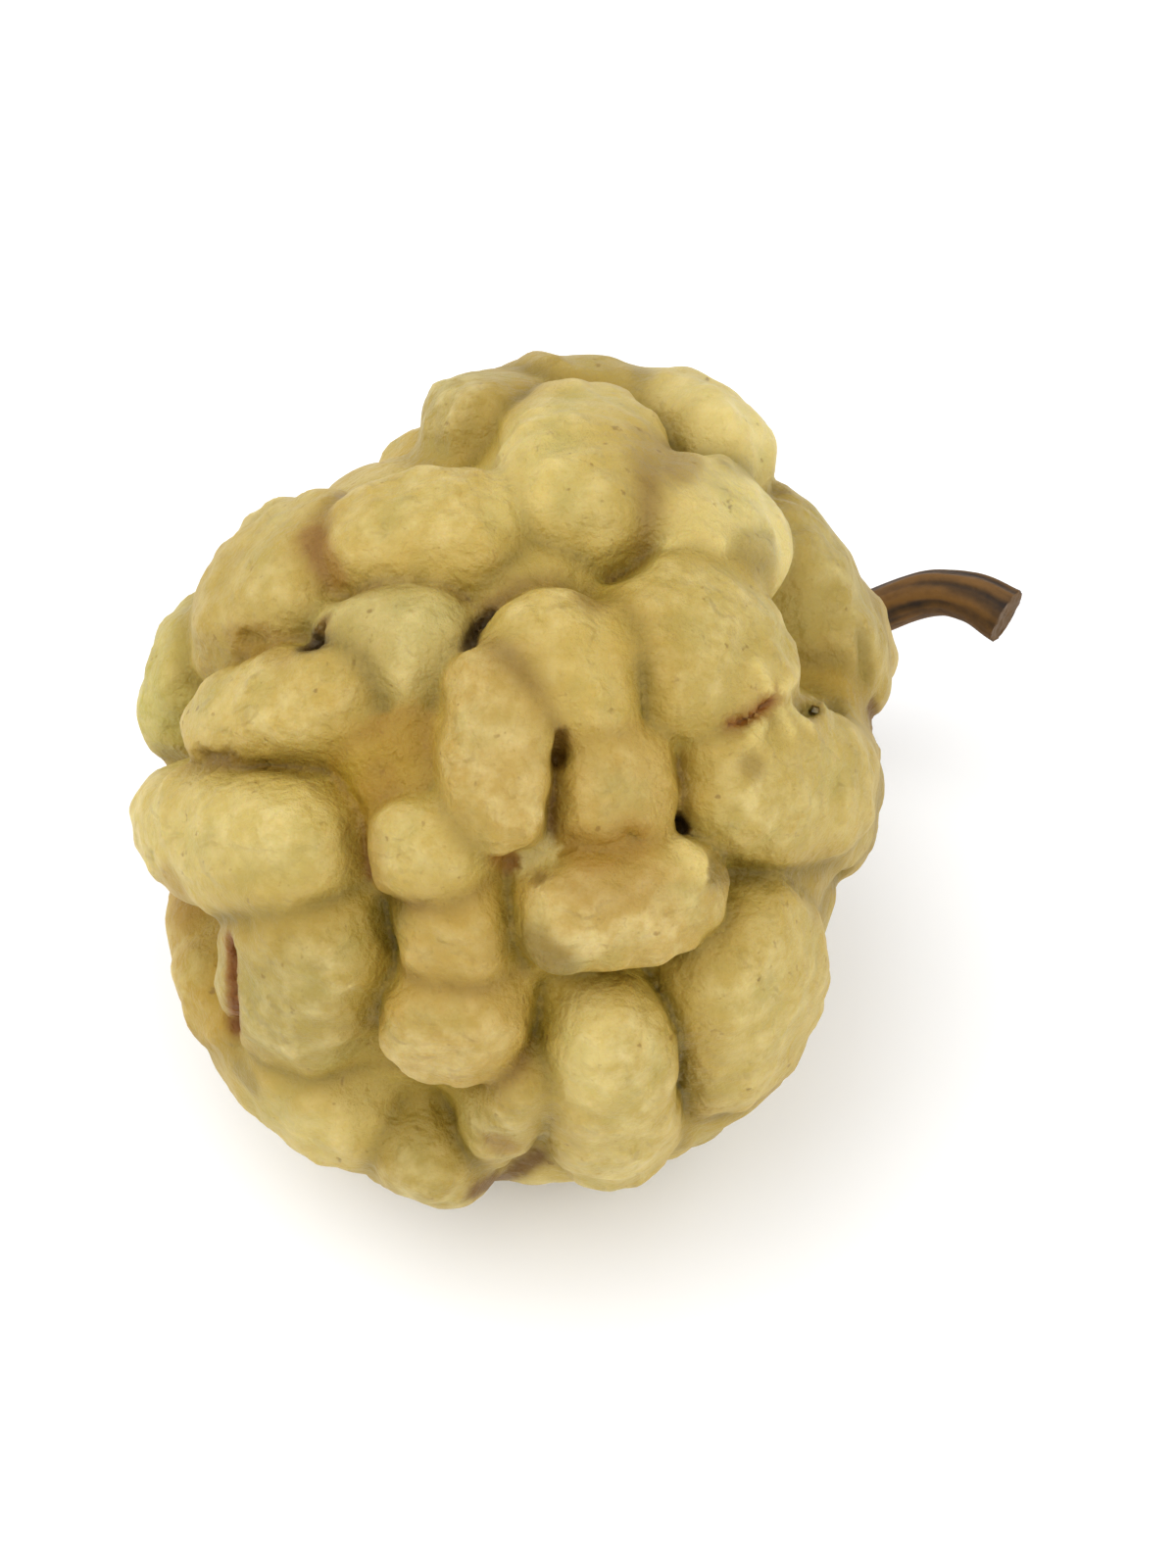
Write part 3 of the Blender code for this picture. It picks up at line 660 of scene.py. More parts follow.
def net_over(grid: DistanceField) -> tuple[Points, np.ndarray]:
    """Draws a net of quads over a field's zero level.

    Args:
        grid: the field.

    Returns:
        The net's points in millimetres and its quads.
    """
    near = grid.near
    inside = near < 0.0
    cells = np.array(near.shape) - 1
    strides = np.array([cells[1] * cells[2], cells[2], 1])
    count = int(cells.prod())
    sums, hits, quads = np.zeros((3, count)), np.zeros(count), []
    for axis in range(3):
        head = [slice(None)] * 3
        tail = [slice(None)] * 3
        head[axis], tail[axis] = slice(None, -1), slice(1, None)
        crossing = np.argwhere(inside[tuple(head)] != inside[tuple(tail)])
        one, two = [(axis + 1) % 3, (axis + 2) % 3]
        held = (crossing[:, one] > 0) & (crossing[:, two] > 0)
        held &= (crossing[:, one] < cells[one]) & (crossing[:, two] < cells[two])
        crossing = crossing[held]
        after = crossing.copy()
        after[:, axis] += 1
        start, end = near[tuple(crossing.T)], near[tuple(after.T)]
        place = crossing.astype(float)
        place[:, axis] += start / (start - end)
        corners = []
        for step_one, step_two in ((0, 0), (1, 0), (1, 1), (0, 1)):
            cell = crossing.copy()
            cell[:, one] -= step_one
            cell[:, two] -= step_two
            index = cell @ strides
            corners.append(index)
            hits += np.bincount(index, minlength=count)
            for i in range(3):
                sums[i] += np.bincount(index, weights=place[:, i], minlength=count)
        quad = np.column_stack(corners)
        turned = start < 0.0
        quad[~turned] = quad[~turned][:, ::-1]
        quads.append(quad)
    used = np.flatnonzero(hits)
    number = np.full(count, -1)
    number[used] = np.arange(len(used))
    points = (sums[:, used] / hits[used]).T * grid.step + grid.low
    return points, number[np.concatenate(quads)]


def largest_shell(points: Points, quads: np.ndarray) -> tuple[Points, np.ndarray]:
    """Keeps a net's largest connected piece."""
    leader = list(range(len(points)))

    def find(item: int) -> int:
        """The item's leader, with the way to it shortened."""
        while leader[item] != item:
            leader[item] = leader[leader[item]]
            item = leader[item]
        return item

    for quad in quads.tolist():
        first = find(quad[0])
        for other in quad[1:]:
            leader[find(other)] = first
    leaders = np.array([find(i) for i in range(len(points))])
    names, sizes = np.unique(leaders, return_counts=True)
    kept = leaders == names[sizes.argmax()]
    number = np.cumsum(kept) - 1
    return points[kept], number[quads[kept[quads[:, 0]]]]


def relaxed(grid: DistanceField, points: Points, quads: np.ndarray, rounds: int) -> Points:
    """Evens a net out, and puts its points back on the zero level."""
    ends = np.concatenate([quads[:, [0, 1]], quads[:, [1, 2]], quads[:, [2, 3]], quads[:, [3, 0]]])
    count = np.bincount(ends[:, 0], minlength=len(points))
    for _ in range(rounds):
        mean = np.column_stack(
            [np.bincount(ends[:, 0], weights=points[ends[:, 1], i], minlength=len(points)) for i in range(3)]
        )
        points = points + 0.6 * (mean / count[:, None] - points)
        off = np.clip(grid.sample(grid.near, points), -grid.step, grid.step)
        points = points - grid.slope(points) * off[:, None]
    return points


def smooth_route(points: list[Vector], steps: int) -> list[Vector]:
    """Points along a smooth curve through a route's points."""
    ends = [2 * points[0] - points[1], *points, 2 * points[-1] - points[-2]]
    route = []
    for i in range(1, len(ends) - 2):
        before, start, end, after = ends[i - 1 : i + 3]
        for step in range(steps + (i == len(ends) - 3)):
            t = step / steps
            route.append(
                0.5
                * (
                    2 * start
                    + (end - before) * t
                    + (2 * before - 5 * start + 4 * end - after) * t**2
                    + (3 * start - before - 3 * end + after) * t**3
                )
            )
    return route


def tube_distance(points: Points, route: list[np.ndarray], radius: float) -> Points:
    """How far points are outside a tube along a route."""
    best = np.full(len(points), np.inf)
    for start, end in zip(route, route[1:]):
        way = end - start
        share = np.clip((points - start) @ way / max(way @ way, 1e-9), 0.0, 1.0)
        best = np.minimum(best, np.linalg.norm(points - start - share[:, None] * way, axis=1))
    return best - radius


def add_node(tree: bpy.types.NodeTree, kind: str, settings: dict, links: dict) -> bpy.types.Node:
    """Adds a node to a material.

    Args:
        tree: the material's nodes.
        kind: the node's type, without "ShaderNode" before it.
        settings: properties by name, and inputs' values by number or name with "in:" before it.
        links: the output that feeds each input, by the input's number or name.

    Returns:
        The new node.
    """
    node = tree.nodes.new("ShaderNode" + kind)
    for name, value in settings.items():
        if name.startswith("in:"):
            key = name[3:]
            node.inputs[int(key) if key.isdigit() else key].default_value = value
        elif name == "stops":
            ramp = node.color_ramp
            while len(ramp.elements) < len(value):
                ramp.elements.new(0.5)
            for element, (place, colour) in zip(ramp.elements, value):
                element.position = place
                element.color = colour
        else:
            setattr(node, name, value)
    for name, output in links.items():
        tree.links.new(output, node.inputs[name])
    return node


def new_material(name: str) -> tuple[bpy.types.Material, bpy.types.NodeTree, bpy.types.Node]:
    """A material with a Principled shader, as the material, its nodes and the shader."""
    made = bpy.data.materials.new(name)
    made.use_nodes = True
    return made, made.node_tree, made.node_tree.nodes["Principled BSDF"]


def mesh_object(name: str, points: Points, faces: np.ndarray, material: bpy.types.Material) -> bpy.types.Object:
    """A smooth object from points in millimetres and quads."""
    mesh = bpy.data.meshes.new(name)
    mesh.vertices.add(len(points))
    mesh.vertices.foreach_set("co", (points * MM).astype(np.float32).ravel())
    sides = faces.shape[1]
    mesh.loops.add(faces.size)
    mesh.loops.foreach_set("vertex_index", faces.astype(np.int32).ravel())
    mesh.polygons.add(len(faces))
    mesh.polygons.foreach_set("loop_start", np.arange(0, faces.size, sides, dtype=np.int32))
    mesh.update(calc_edges=True)
    mesh.validate()
    mesh.shade_smooth()
    mesh.materials.append(material)
    made = bpy.data.objects.new(name, mesh)
    bpy.context.scene.collection.objects.link(made)
    return made


def add_values(mesh: bpy.types.Mesh, name: str, values: Points) -> None:
    """Stores a number for each point, which the material reads by name."""
    made = mesh.attributes.new(name, "FLOAT", "POINT")
    made.data.foreach_set("value", values.astype(np.float32))


def add_vectors(mesh: bpy.types.Mesh, name: str, values: Points) -> None:
    """Stores a vector for each point, which the material reads by name."""
    made = mesh.attributes.new(name, "FLOAT_VECTOR", "POINT")
    made.data.foreach_set("vector", values.astype(np.float32).ravel())


def add_colours(mesh: bpy.types.Mesh, name: str, colours: Points, alpha: Points) -> None:
    """Stores a linear colour and its share for each point, which the material reads by name."""
    made = mesh.attributes.new(name, "FLOAT_COLOR", "POINT")
    made.data.foreach_set("color", np.column_stack([colours, alpha]).astype(np.float32).ravel())


def spread(mesh: bpy.types.Mesh, values: Points, rounds: int) -> Points:
    """Evens out one value at each vertex with those of its neighbours, a number of times."""
    edges = np.empty(2 * len(mesh.edges), dtype=np.int32)
    mesh.edges.foreach_get("vertices", edges)
    one, other = edges.reshape(-1, 2).T
    count = np.bincount(edges, minlength=len(values))
    for _ in range(rounds):
        total = np.bincount(one, values[other], len(values)) + np.bincount(other, values[one], len(values))
        values = 0.5 * values + 0.5 * total / count
    return values


@dataclass(frozen=True)
class DriedFlesh:
    """Dried mulberry flesh: sugary fruit that shrank in the air, pale and waxy, a little see-through at its edges.

    The skin gives a broad soft sheen. The valleys between drupelets and the hollows have painted amber shade, dark
    brown at the bottoms of the hollows, and raised parts are pale, partly a sugary coat and partly painted highlight.
    """

    # Painted shade: amber in the valleys between drupelets and in hollows, dark brown at the bottoms of hollows.
    seam: str = "#99791C"
    hollow: str = "#937816"
    pit: str = "#563C0E"
    # Pale colour on raised parts: partly a sugary coat in patches, partly painted highlight on the raised middles.
    bloom_and_highlight: str = "#DCCC93"
    dull: str = "#958A48"
    speck: str = "#74561E"
    mottle_mm: float = 1.1
    patch_mm: float = 0.4
    skin_mm: float = 0.13
    pucker_mm: float = 0.32
    wrinkle_mm: float = 0.55

    def make(self) -> bpy.types.Material:
        """The material, with the tones, the painted shade of valleys and hollows, and the line and crease colours read
        from the mesh.
        """
        made, tree, shader = new_material("dried_mulberry_flesh")
        at = add_node(tree, "TexCoord", {}, {}).outputs["Object"]
        tone = add_node(tree, "Attribute", {"attribute_name": "tone"}, {}).outputs["Color"]
        seam = add_node(tree, "Attribute", {"attribute_name": "seam"}, {}).outputs["Fac"]
        hollow = add_node(tree, "Attribute", {"attribute_name": "hollow"}, {}).outputs["Fac"]
        border = add_node(tree, "Attribute", {"attribute_name": "border"}, {})
        stain = add_node(tree, "Attribute", {"attribute_name": "stain"}, {})

        mottle = self.noise(tree, at, self.mottle_mm, 3.0, 0.55)
        patch = self.noise(tree, at, self.patch_mm, 4.0, 0.6)
        # Pale patches on raised middles, away from hollows: partly a sugary coat, partly painted highlight where the
        # light falls.
        raised = add_node(tree, "MapRange", {"in:1": 0.5, "in:2": 0.36}, {0: hollow}).outputs[0]
        bloom_and_highlight = add_node(tree, "MapRange", {"in:1": 0.4, "in:2": 0.7}, {0: patch}).outputs[0]
        bloom_and_highlight = add_node(tree, "Math", {"operation": "MULTIPLY"}, {0: bloom_and_highlight, 1: raised}).outputs[0]
        bloom_and_highlight = add_node(tree, "Math", {"operation": "MULTIPLY", "in:1": 0.5}, {0: bloom_and_highlight}).outputs[0]
        colour = self.mix(tree, bloom_and_highlight, tone, linear(self.bloom_and_highlight))
        dull = add_node(tree, "MapRange", {"in:1": 0.5, "in:2": 0.72, "in:4": 0.45}, {0: mottle}).outputs[0]
        colour = self.mix(tree, dull, colour, linear(self.dull))

        # Painted shade: amber beside the borders between drupelets, amber in hollows, and dark brown at the bottoms of
        # hollows.
        valley_shade_share = add_node(tree, "Math", {"operation": "MULTIPLY", "in:1": 0.7}, {0: seam}).outputs[0]
        colour = self.mix(tree, valley_shade_share, colour, linear(self.seam))
        deep = add_node(tree, "MapRange", {"in:1": 0.54, "in:2": 0.74, "in:4": 0.55}, {0: hollow}).outputs[0]
        colour = self.mix(tree, deep, colour, linear(self.hollow))
        deepest = add_node(tree, "MapRange", {"in:1": 0.8, "in:2": 1.0, "in:4": 0.7}, {0: hollow}).outputs[0]
        colour = self.mix(tree, deepest, colour, linear(self.pit))

        specks = self.noise(tree, at, 0.24, 2.0, 0.5)
        specks = add_node(tree, "MapRange", {"in:1": 0.69, "in:2": 0.76, "in:4": 0.6}, {0: specks}).outputs[0]
        colour = self.mix(tree, specks, colour, linear(self.speck))
        # Border lines and crease marks laid over: dark lines where drupelets join, stains, and on some marks painted
        # shade, on others painted highlight.
        for dried in (border, stain):
            links = {0: dried.outputs["Alpha"], 6: colour, 7: dried.outputs["Color"]}
            colour = add_node(tree, "Mix", {"data_type": "RGBA"}, links).outputs[2]
        tree.links.new(colour, shader.inputs["Base Color"])

        rough = add_node(tree, "MapRange", {"in:3": 0.42, "in:4": 0.62}, {0: patch}).outputs[0]
        tree.links.new(rough, shader.inputs["Roughness"])
        shader.inputs["IOR"].default_value = 1.45
        shader.inputs["Specular IOR Level"].default_value = 0.3
        shader.inputs["Subsurface Weight"].default_value = 0.5
        shader.inputs["Subsurface Radius"].default_value = (1.0, 0.62, 0.2)
        shader.inputs["Subsurface Scale"].default_value = 0.35 * MM
        skin = self.noise(tree, at, self.skin_mm, 3.0, 0.6)
        pucker = self.noise(tree, at, self.pucker_mm, 3.0, 0.5)
        relief = add_node(tree, "Math", {"operation": "MULTIPLY_ADD", "in:1": 0.5}, {0: skin, 2: pucker}).outputs[0]
        along = add_node(tree, "Attribute", {"attribute_name": "skin_place"}, {}).outputs["Vector"]
        wrinkle = self.wrinkles(tree, along, 1.0)
        inner = add_node(tree, "Attribute", {"attribute_name": "inner"}, {}).outputs["Fac"]
        wrinkle = add_node(tree, "Math", {"operation": "MULTIPLY"}, {0: wrinkle, 1: inner}).outputs[0]
        relief = add_node(tree, "Math", {"operation": "MULTIPLY_ADD", "in:1": 0.9}, {0: wrinkle, 2: relief}).outputs[0]
        crackle = self.wrinkles(tree, at, 1.0 / (self.wrinkle_mm * MM))
        relief = add_node(tree, "Math", {"operation": "MULTIPLY_ADD", "in:1": 0.7}, {0: crackle, 2: relief}).outputs[0]
        bump = add_node(
            tree, "Bump", {"in:Strength": 1.0, "in:Distance": 0.11 * MM}, {"Height": relief}
        ).outputs["Normal"]
        tree.links.new(bump, shader.inputs["Normal"])
        return made

    def wrinkles(self, tree: bpy.types.NodeTree, at: bpy.types.NodeSocket, scale: float) -> bpy.types.NodeSocket:
        """Sharp ridges with broad hollows between them, as skin has where it dried on a shrinking pulp."""
        settings = {"noise_type": "RIDGED_MULTIFRACTAL", "normalize": True, "in:Scale": scale, "in:Detail": 2.0}
        settings.update({"in:Roughness": 0.5, "in:Distortion": 0.6})
        return add_node(tree, "TexNoise", settings, {"Vector": at}).outputs["Fac"]

    def noise(
        self, tree: bpy.types.NodeTree, at: bpy.types.NodeSocket, size: float, detail: float, rough: float
    ) -> bpy.types.NodeSocket:
        """Noise whose lumps are about a size in millimetres apart."""
        settings = {"in:Scale": 1.0 / (size * MM), "in:Detail": detail, "in:Roughness": rough}
        return add_node(tree, "TexNoise", settings, {"Vector": at}).outputs["Fac"]

    def mix(
        self,
        tree: bpy.types.NodeTree,
        share: bpy.types.NodeSocket,
        under: bpy.types.NodeSocket,
        over: tuple[float, float, float, float],
    ) -> bpy.types.NodeSocket:
        """A colour laid over another by a share."""
        node = add_node(tree, "Mix", {"data_type": "RGBA", "in:7": over}, {0: share, 6: under})
        return node.outputs[2]


@dataclass(frozen=True)
class DryStalk:
    """A dry mulberry stalk: thin woody bark, air-dried until it is ridged and dull, with a torn pale-brown end."""

    bark: str = "#48300F"
    ridge: str = "#6C4A1C"
    groove: str = "#241608"
    torn: str = "#5E4526"
    fibre_mm: float = 0.09

    def make(self) -> bpy.types.Material:
        """The material, with the ridges and the torn end read from the mesh."""
        made, tree, shader = new_material("dry_mulberry_stalk")
        at = add_node(tree, "TexCoord", {}, {}).outputs["Object"]
        ridge = add_node(tree, "Attribute", {"attribute_name": "ridge"}, {}).outputs["Fac"]
        torn = add_node(tree, "Attribute", {"attribute_name": "torn"}, {}).outputs["Fac"]
        grain = add_node(
            tree, "TexNoise", {"in:Scale": 1.0 / (0.25 * MM), "in:Detail": 4.0}, {"Vector": at}
        ).outputs["Fac"]
        height = add_node(tree, "Math", {"operation": "MULTIPLY_ADD", "in:1": 0.5, "in:2": -0.25}, {0: grain})
        height = add_node(tree, "Math", {"operation": "ADD"}, {0: height.outputs[0], 1: ridge}).outputs[0]
        stops = ((0.15, linear(self.groove)), (0.45, linear(self.bark)), (0.85, linear(self.ridge)))
        colour = add_node(tree, "ValToRGB", {"stops": stops}, {0: height}).outputs["Color"]
        colour = add_node(
            tree, "Mix", {"data_type": "RGBA", "in:7": linear(self.torn)}, {0: torn, 6: colour}
        ).outputs[2]
        tree.links.new(colour, shader.inputs["Base Color"])
        shader.inputs["Roughness"].default_value = 0.72
        shader.inputs["Specular IOR Level"].default_value = 0.35
        fibre = add_node(
            tree, "TexNoise", {"in:Scale": 1.0 / (self.fibre_mm * MM), "in:Detail": 3.0}, {"Vector": at}
        ).outputs["Fac"]
        bump = add_node(
            tree, "Bump", {"in:Strength": 0.7, "in:Distance": 0.03 * MM}, {"Height": fibre}
        ).outputs["Normal"]
        tree.links.new(bump, shader.inputs["Normal"])
        return made


@dataclass(frozen=True)
class PaleBoard:
    """A plain white board, matte all over, which gives the eye nothing but a soft shadow."""

    white: str = "#F9FAFC"

    def make(self) -> bpy.types.Material:
        """The material."""
        made, _tree, shader = new_material("white_board")
        shader.inputs["Base Color"].default_value = linear(self.white)
        shader.inputs["Roughness"].default_value = 0.9
        shader.inputs["Specular IOR Level"].default_value = 0.1
        return made


@dataclass
class Stem:
    """The stalk: a bent woody tube, thick at its root, with a torn end."""

    route: tuple[tuple[float, float, float], ...] = (
        (1.3, 2.7, 3.6),
        (1.95, 4.0, 2.35),
        (2.9, 5.1, 1.6),
        (4.3, 5.8, 1.65),
        (5.6, 6.05, 2.3),
        (6.7, 6.1, 2.95),
        (7.45, 5.85, 3.2),
        (8.0, 5.5, 3.2),
    )
    root_radius: float = 0.5
    root_length: float = 1.2
    radius: float = 0.39
    end_radius: float = 0.5
    end_length: float = 1.1
    cut: float = 5.0
    sides: int = 72
    steps: int = 28
    seed: int = 5

    def places(self, steps: int) -> list[np.ndarray]:
        """Points along its middle line, in the world."""
        under = Vector((MIDDLE.x, MIDDLE.y, 0.0))
        return [np.array(p + under) for p in smooth_route([Vector(p) for p in self.route], steps)]

    def build(self, material: bpy.types.Material) -> bpy.types.Object:
        """Makes the stalk's mesh.

        Args:
            material: the bark.

        Returns:
            The stalk's object.
        """
        grain = Grain(self.seed)
        route = self.places(self.steps)
        lengths = np.concatenate([[0.0], np.cumsum([np.linalg.norm(b - a) for a, b in zip(route, route[1:])])])
        total = lengths[-1]
        angles = 2.0 * math.pi * np.arange(self.sides) / self.sides
        side = np.array([0.0, 0.0, 1.0])
        rings, ridges, torn = [], [], []
        for i, place in enumerate(route):
            ahead = route[min(i + 1, len(route) - 1)] - route[max(i - 1, 0)]
            ahead /= np.linalg.norm(ahead)
            side = side - ahead * (side @ ahead)
            side /= np.linalg.norm(side)
            other = np.cross(ahead, side)
            along = lengths[i]
            thick = self.radius + (self.root_radius - self.radius) * math.exp(-along / self.root_length)
            thick += (self.end_radius - self.radius) * max(0.0, 1.0 - (total - along) / self.end_length)
            rim = np.cos(angles)[:, None] * side + np.sin(angles)[:, None] * other
            around = np.column_stack([np.cos(angles) * 2.2, np.sin(angles) * 2.2, np.full(self.sides, along * 0.35)])
            fine = np.column_stack([np.cos(angles) * 5.0, np.sin(angles) * 5.0, np.full(self.sides, along * 1.1)])
            relief = 0.9 * grain.at(around) + 0.5 * grain.at(fine + 40.0)
            wide = thick * (0.97 + 0.13 * relief - 0.03)
            slant = math.tan(math.radians(self.cut)) * smooth_step(total - 0.5, total, np.array(along))
            rings.append(place + rim * wide[:, None] + ahead * (slant * wide * np.cos(angles))[:, None])
            ridges.append(0.5 + relief)
            torn.append(np.full(self.sides, 0.0))
        rings, ridges, torn = self.capped(rings, ridges, torn, grain)
        points = np.concatenate(rings)
        faces = []
        for i in range(len(rings) - 1):
            a = i * self.sides + np.arange(self.sides)
            b = i * self.sides + (np.arange(self.sides) + 1) % self.sides
            faces.append(np.column_stack([a, b, b + self.sides, a + self.sides]))
        made = mesh_object("stalk", points, np.concatenate(faces), material)
        add_values(made.data, "ridge", np.concatenate(ridges))
        add_values(made.data, "torn", np.concatenate(torn))
        return made

    def capped(self, rings: list, ridges: list, torn: list, grain: Grain) -> tuple[list, list, list]:
        """Closes both ends with shrinking rings, the outer one rough as torn wood is."""
        for where, outward in ((0, -1.0), (-1, 1.0)):
            rim = rings[where]
            middle = rim.mean(axis=0)
            way = middle - rings[where - int(outward)].mean(axis=0)
            way /= np.linalg.norm(way)
            for share in (0.93, 0.8, 0.6, 0.4, 0.2, 0.04):
                ring = middle + (rim - middle) * share
                rough = grain.at(ring * 6.0) * 0.09 - 0.05 * (1.0 - share)
                ring = ring + way * rough[:, None] * (outward > 0)
                rings = [ring, *rings] if where == 0 else [*rings, ring]
                ridges = [ridges[0], *ridges] if where == 0 else [*ridges, 0.4 + grain.at(ring * 5.0)]
                flesh = np.full(self.sides, 0.8 if where else 0.0)
                torn = [flesh, *torn] if where == 0 else [*torn, flesh]
        return rings, ridges, torn


@dataclass
class Berry:
    """The fruit: drupelets fused round a core, with wrinkled skin, seams between them and pits where they meet."""

    step: float = 0.115
    core_raised: float = 0.1
    core_blend: float = 0.5
    blend: float = 0.18
    groove_wide: float = 0.2
    groove_share: float = 0.9
    valley_wide: float = 0.45
    shade_wide: float = 0.75
    wrinkles_round: float = 2.6
    dent_mm: float = 1.4
    dent_deep: float = 0.16
    fold_deep: float = 0.1
    crumple_mm: float = 0.8
    crumple_deep: float = 0.2
    pucker_mm: float = 0.42
    pucker_deep: float = 0.11
    shrink: float = 0.19
    seed: int = 23
    drupelets: list[Drupelet] = field(init=False)

    def __post_init__(self) -> None:
        """Places the drupelets."""
        placed = front_drupelets() + foot_drupelets()
        self.drupelets = placed + back_drupelets(placed)

    def relief(self, unit: Points, points: Points, number: int, grain: Grain) -> Points:
        """How far the dried skin stands out of a drupelet's plain shape.

        Args:
            unit: the points' unit places in the drupelet.
            points: the same points in the world.
            number: the drupelet's number, so that no two are alike.
            grain: the noise.

        Returns:
            A height in millimetres for each point.
        """
        off = number * 7.31
        reach = np.hypot(unit[:, 0], unit[:, 1])
        around = unit[:, :2] / np.maximum(reach, 0.08)[:, None]
        fold_at = np.column_stack([around * 1.9 + off, reach * 1.4])
        folds = -np.exp(-((grain.at(fold_at) / 0.11) ** 2)) * smooth_step(0.25, 0.85, reach)
        dents = grain.at(points / self.dent_mm + off)
        crests = 0.25 - np.abs(grain.at(points / self.crumple_mm + 3.0 * off))
        puckers = grain.at(points / self.pucker_mm + 2.0 * off)
        height = self.dent_deep * dents + self.fold_deep * folds + self.pucker_deep * puckers
        return height + self.crumple_deep * crests - self.shrink

    def field_of(self, stem: Stem) -> DistanceField:
        """Works out the distances to the skin."""
        grain = Grain(self.seed)
        spans = [drupelet.span() for drupelet in self.drupelets]
        low = np.min([span[0] for span in spans], axis=0) - 4.0 * self.step
        high = np.max([span[1] for span in spans], axis=0) + 4.0 * self.step
        low[2] = min(low[2], -4.0 * self.step)
        grid = DistanceField(low, high, self.step)
        margin = 5.0 * self.step
        for number, (drupelet, (start, stop)) in enumerate(zip(self.drupelets, spans)):
            where, points = grid.region(start - margin, stop + margin)
            distance, unit = drupelet.distance(points)
            grid.rank(where, distance, number)
            skin = np.abs(distance) < 0.6
            distance[skin] -= self.relief(unit[skin], points[skin], number, grain)
            grid.join(where, distance, self.blend)
        self.add_core(grid)
        self.join_borders(grid, grain)
        grid.even_out(1)
        return grid

    def join_borders(self, grid: DistanceField, grain: Grain) -> None:
        """Fills the valleys between drupelets that grew together, and draws the line between each two."""
        gap = grid.second - grid.first
        skin = np.flatnonzero((np.abs(grid.near) < 0.6) & (gap < 2.5 * self.valley_wide))
        gap = gap.ravel()[skin]
        index = np.column_stack(np.unravel_index(skin, grid.near.shape))
        pair = grid.first_of.ravel()[skin], grid.second_of.ravel()[skin]
        filled = 1.25 * self.of_borders("filled")[pair] * np.exp(-((gap / self.valley_wide) ** 2))
        line = self.groove_share * self.of_borders("deep")[pair] * np.exp(-((gap / self.groove_wide) ** 2))
        line *= self.openness(index * grid.step + grid.low, grain)
        grid.near.ravel()[skin] += line - filled

    def of_borders(self, name: str) -> np.ndarray:
        """One value of the borders, for each drupelet with each other one: a number, or the line's linear colour."""
        names = [drupelet.name for drupelet in self.drupelets]

        def value(border: Border) -> float | tuple[float, ...]:
            """The value that a border has."""
            held = getattr(border, name)
            return linear(held.value)[:3] if isinstance(held, StainAndPaintedLight) else held

        table = np.full((len(names), len(names), 3), value(PLAIN_BORDER), dtype=float)
        for (one, other), border in BORDERS.items():
            i, j = names.index(one), names.index(other)
            table[i, j] = table[j, i] = value(border)
        return table if name == "stain" else table[:, :, 0]

    def skin_places(self, points: Points, owner: np.ndarray) -> Points:
        """Where points lie round their drupelet's crown and out from it, for wrinkles that run outward."""
        places = np.zeros_like(points)
        for number, drupelet in enumerate(self.drupelets):
            own = owner == number
            unit = drupelet.unit_places(points[own])
            reach = np.hypot(unit[:, 0], unit[:, 1])
            around = unit[:, :2] / np.maximum(reach, 0.6)[:, None]
            places[own] = np.column_stack([around * self.wrinkles_round, 1.1 * reach + 5.3 * number])
        return places

    def openness(self, points: Points, grain: Grain) -> Points:
        """How far the border between two drupelets is open there: some have grown together, others cracked apart."""
        return 0.45 + 0.55 * smooth_step(-0.3, 0.3, grain.at(points / 1.1 + 9.0))

    def add_core(self, grid: DistanceField) -> None:
        """Joins the core that the drupelets stand out of."""
        where, points = grid.region(grid.low, grid.high)
        turn = np.array(berry_turn())
        local = (points - np.array(MIDDLE)) @ turn
        depth = np.where(local[:, 2] > 0.0, HALF_FRONT, HALF_BACK)
        half = np.column_stack([np.full_like(depth, HALF_RIGHT), np.full_like(depth, HALF_UP), depth])
        half += self.core_raised
        unit = local / half
        size = np.linalg.norm(unit, axis=1)
        slope = np.maximum(np.linalg.norm(unit / half, axis=1), 1e-6)
        grid.join(where, size * (size - 1.0) / slope, self.core_blend)

    def surface_place(self, grid: DistanceField, right: float, up: float) -> tuple[np.ndarray, np.ndarray]:
        """Where the skin is, seen from the front, and the way into the flesh there."""
        fronts = np.arange(7.5, -2.0, -0.04)
        line = np.array([in_world(right, up, front) for front in fronts])
        inside = np.flatnonzero(grid.sample(grid.near, line) < 0.0)
        hit = line[inside[0]] if len(inside) else line[-1]
        middle = in_world(0.0, 0.0, 0.0)
        inward = (middle - hit) / np.linalg.norm(middle - hit)
        return hit, inward

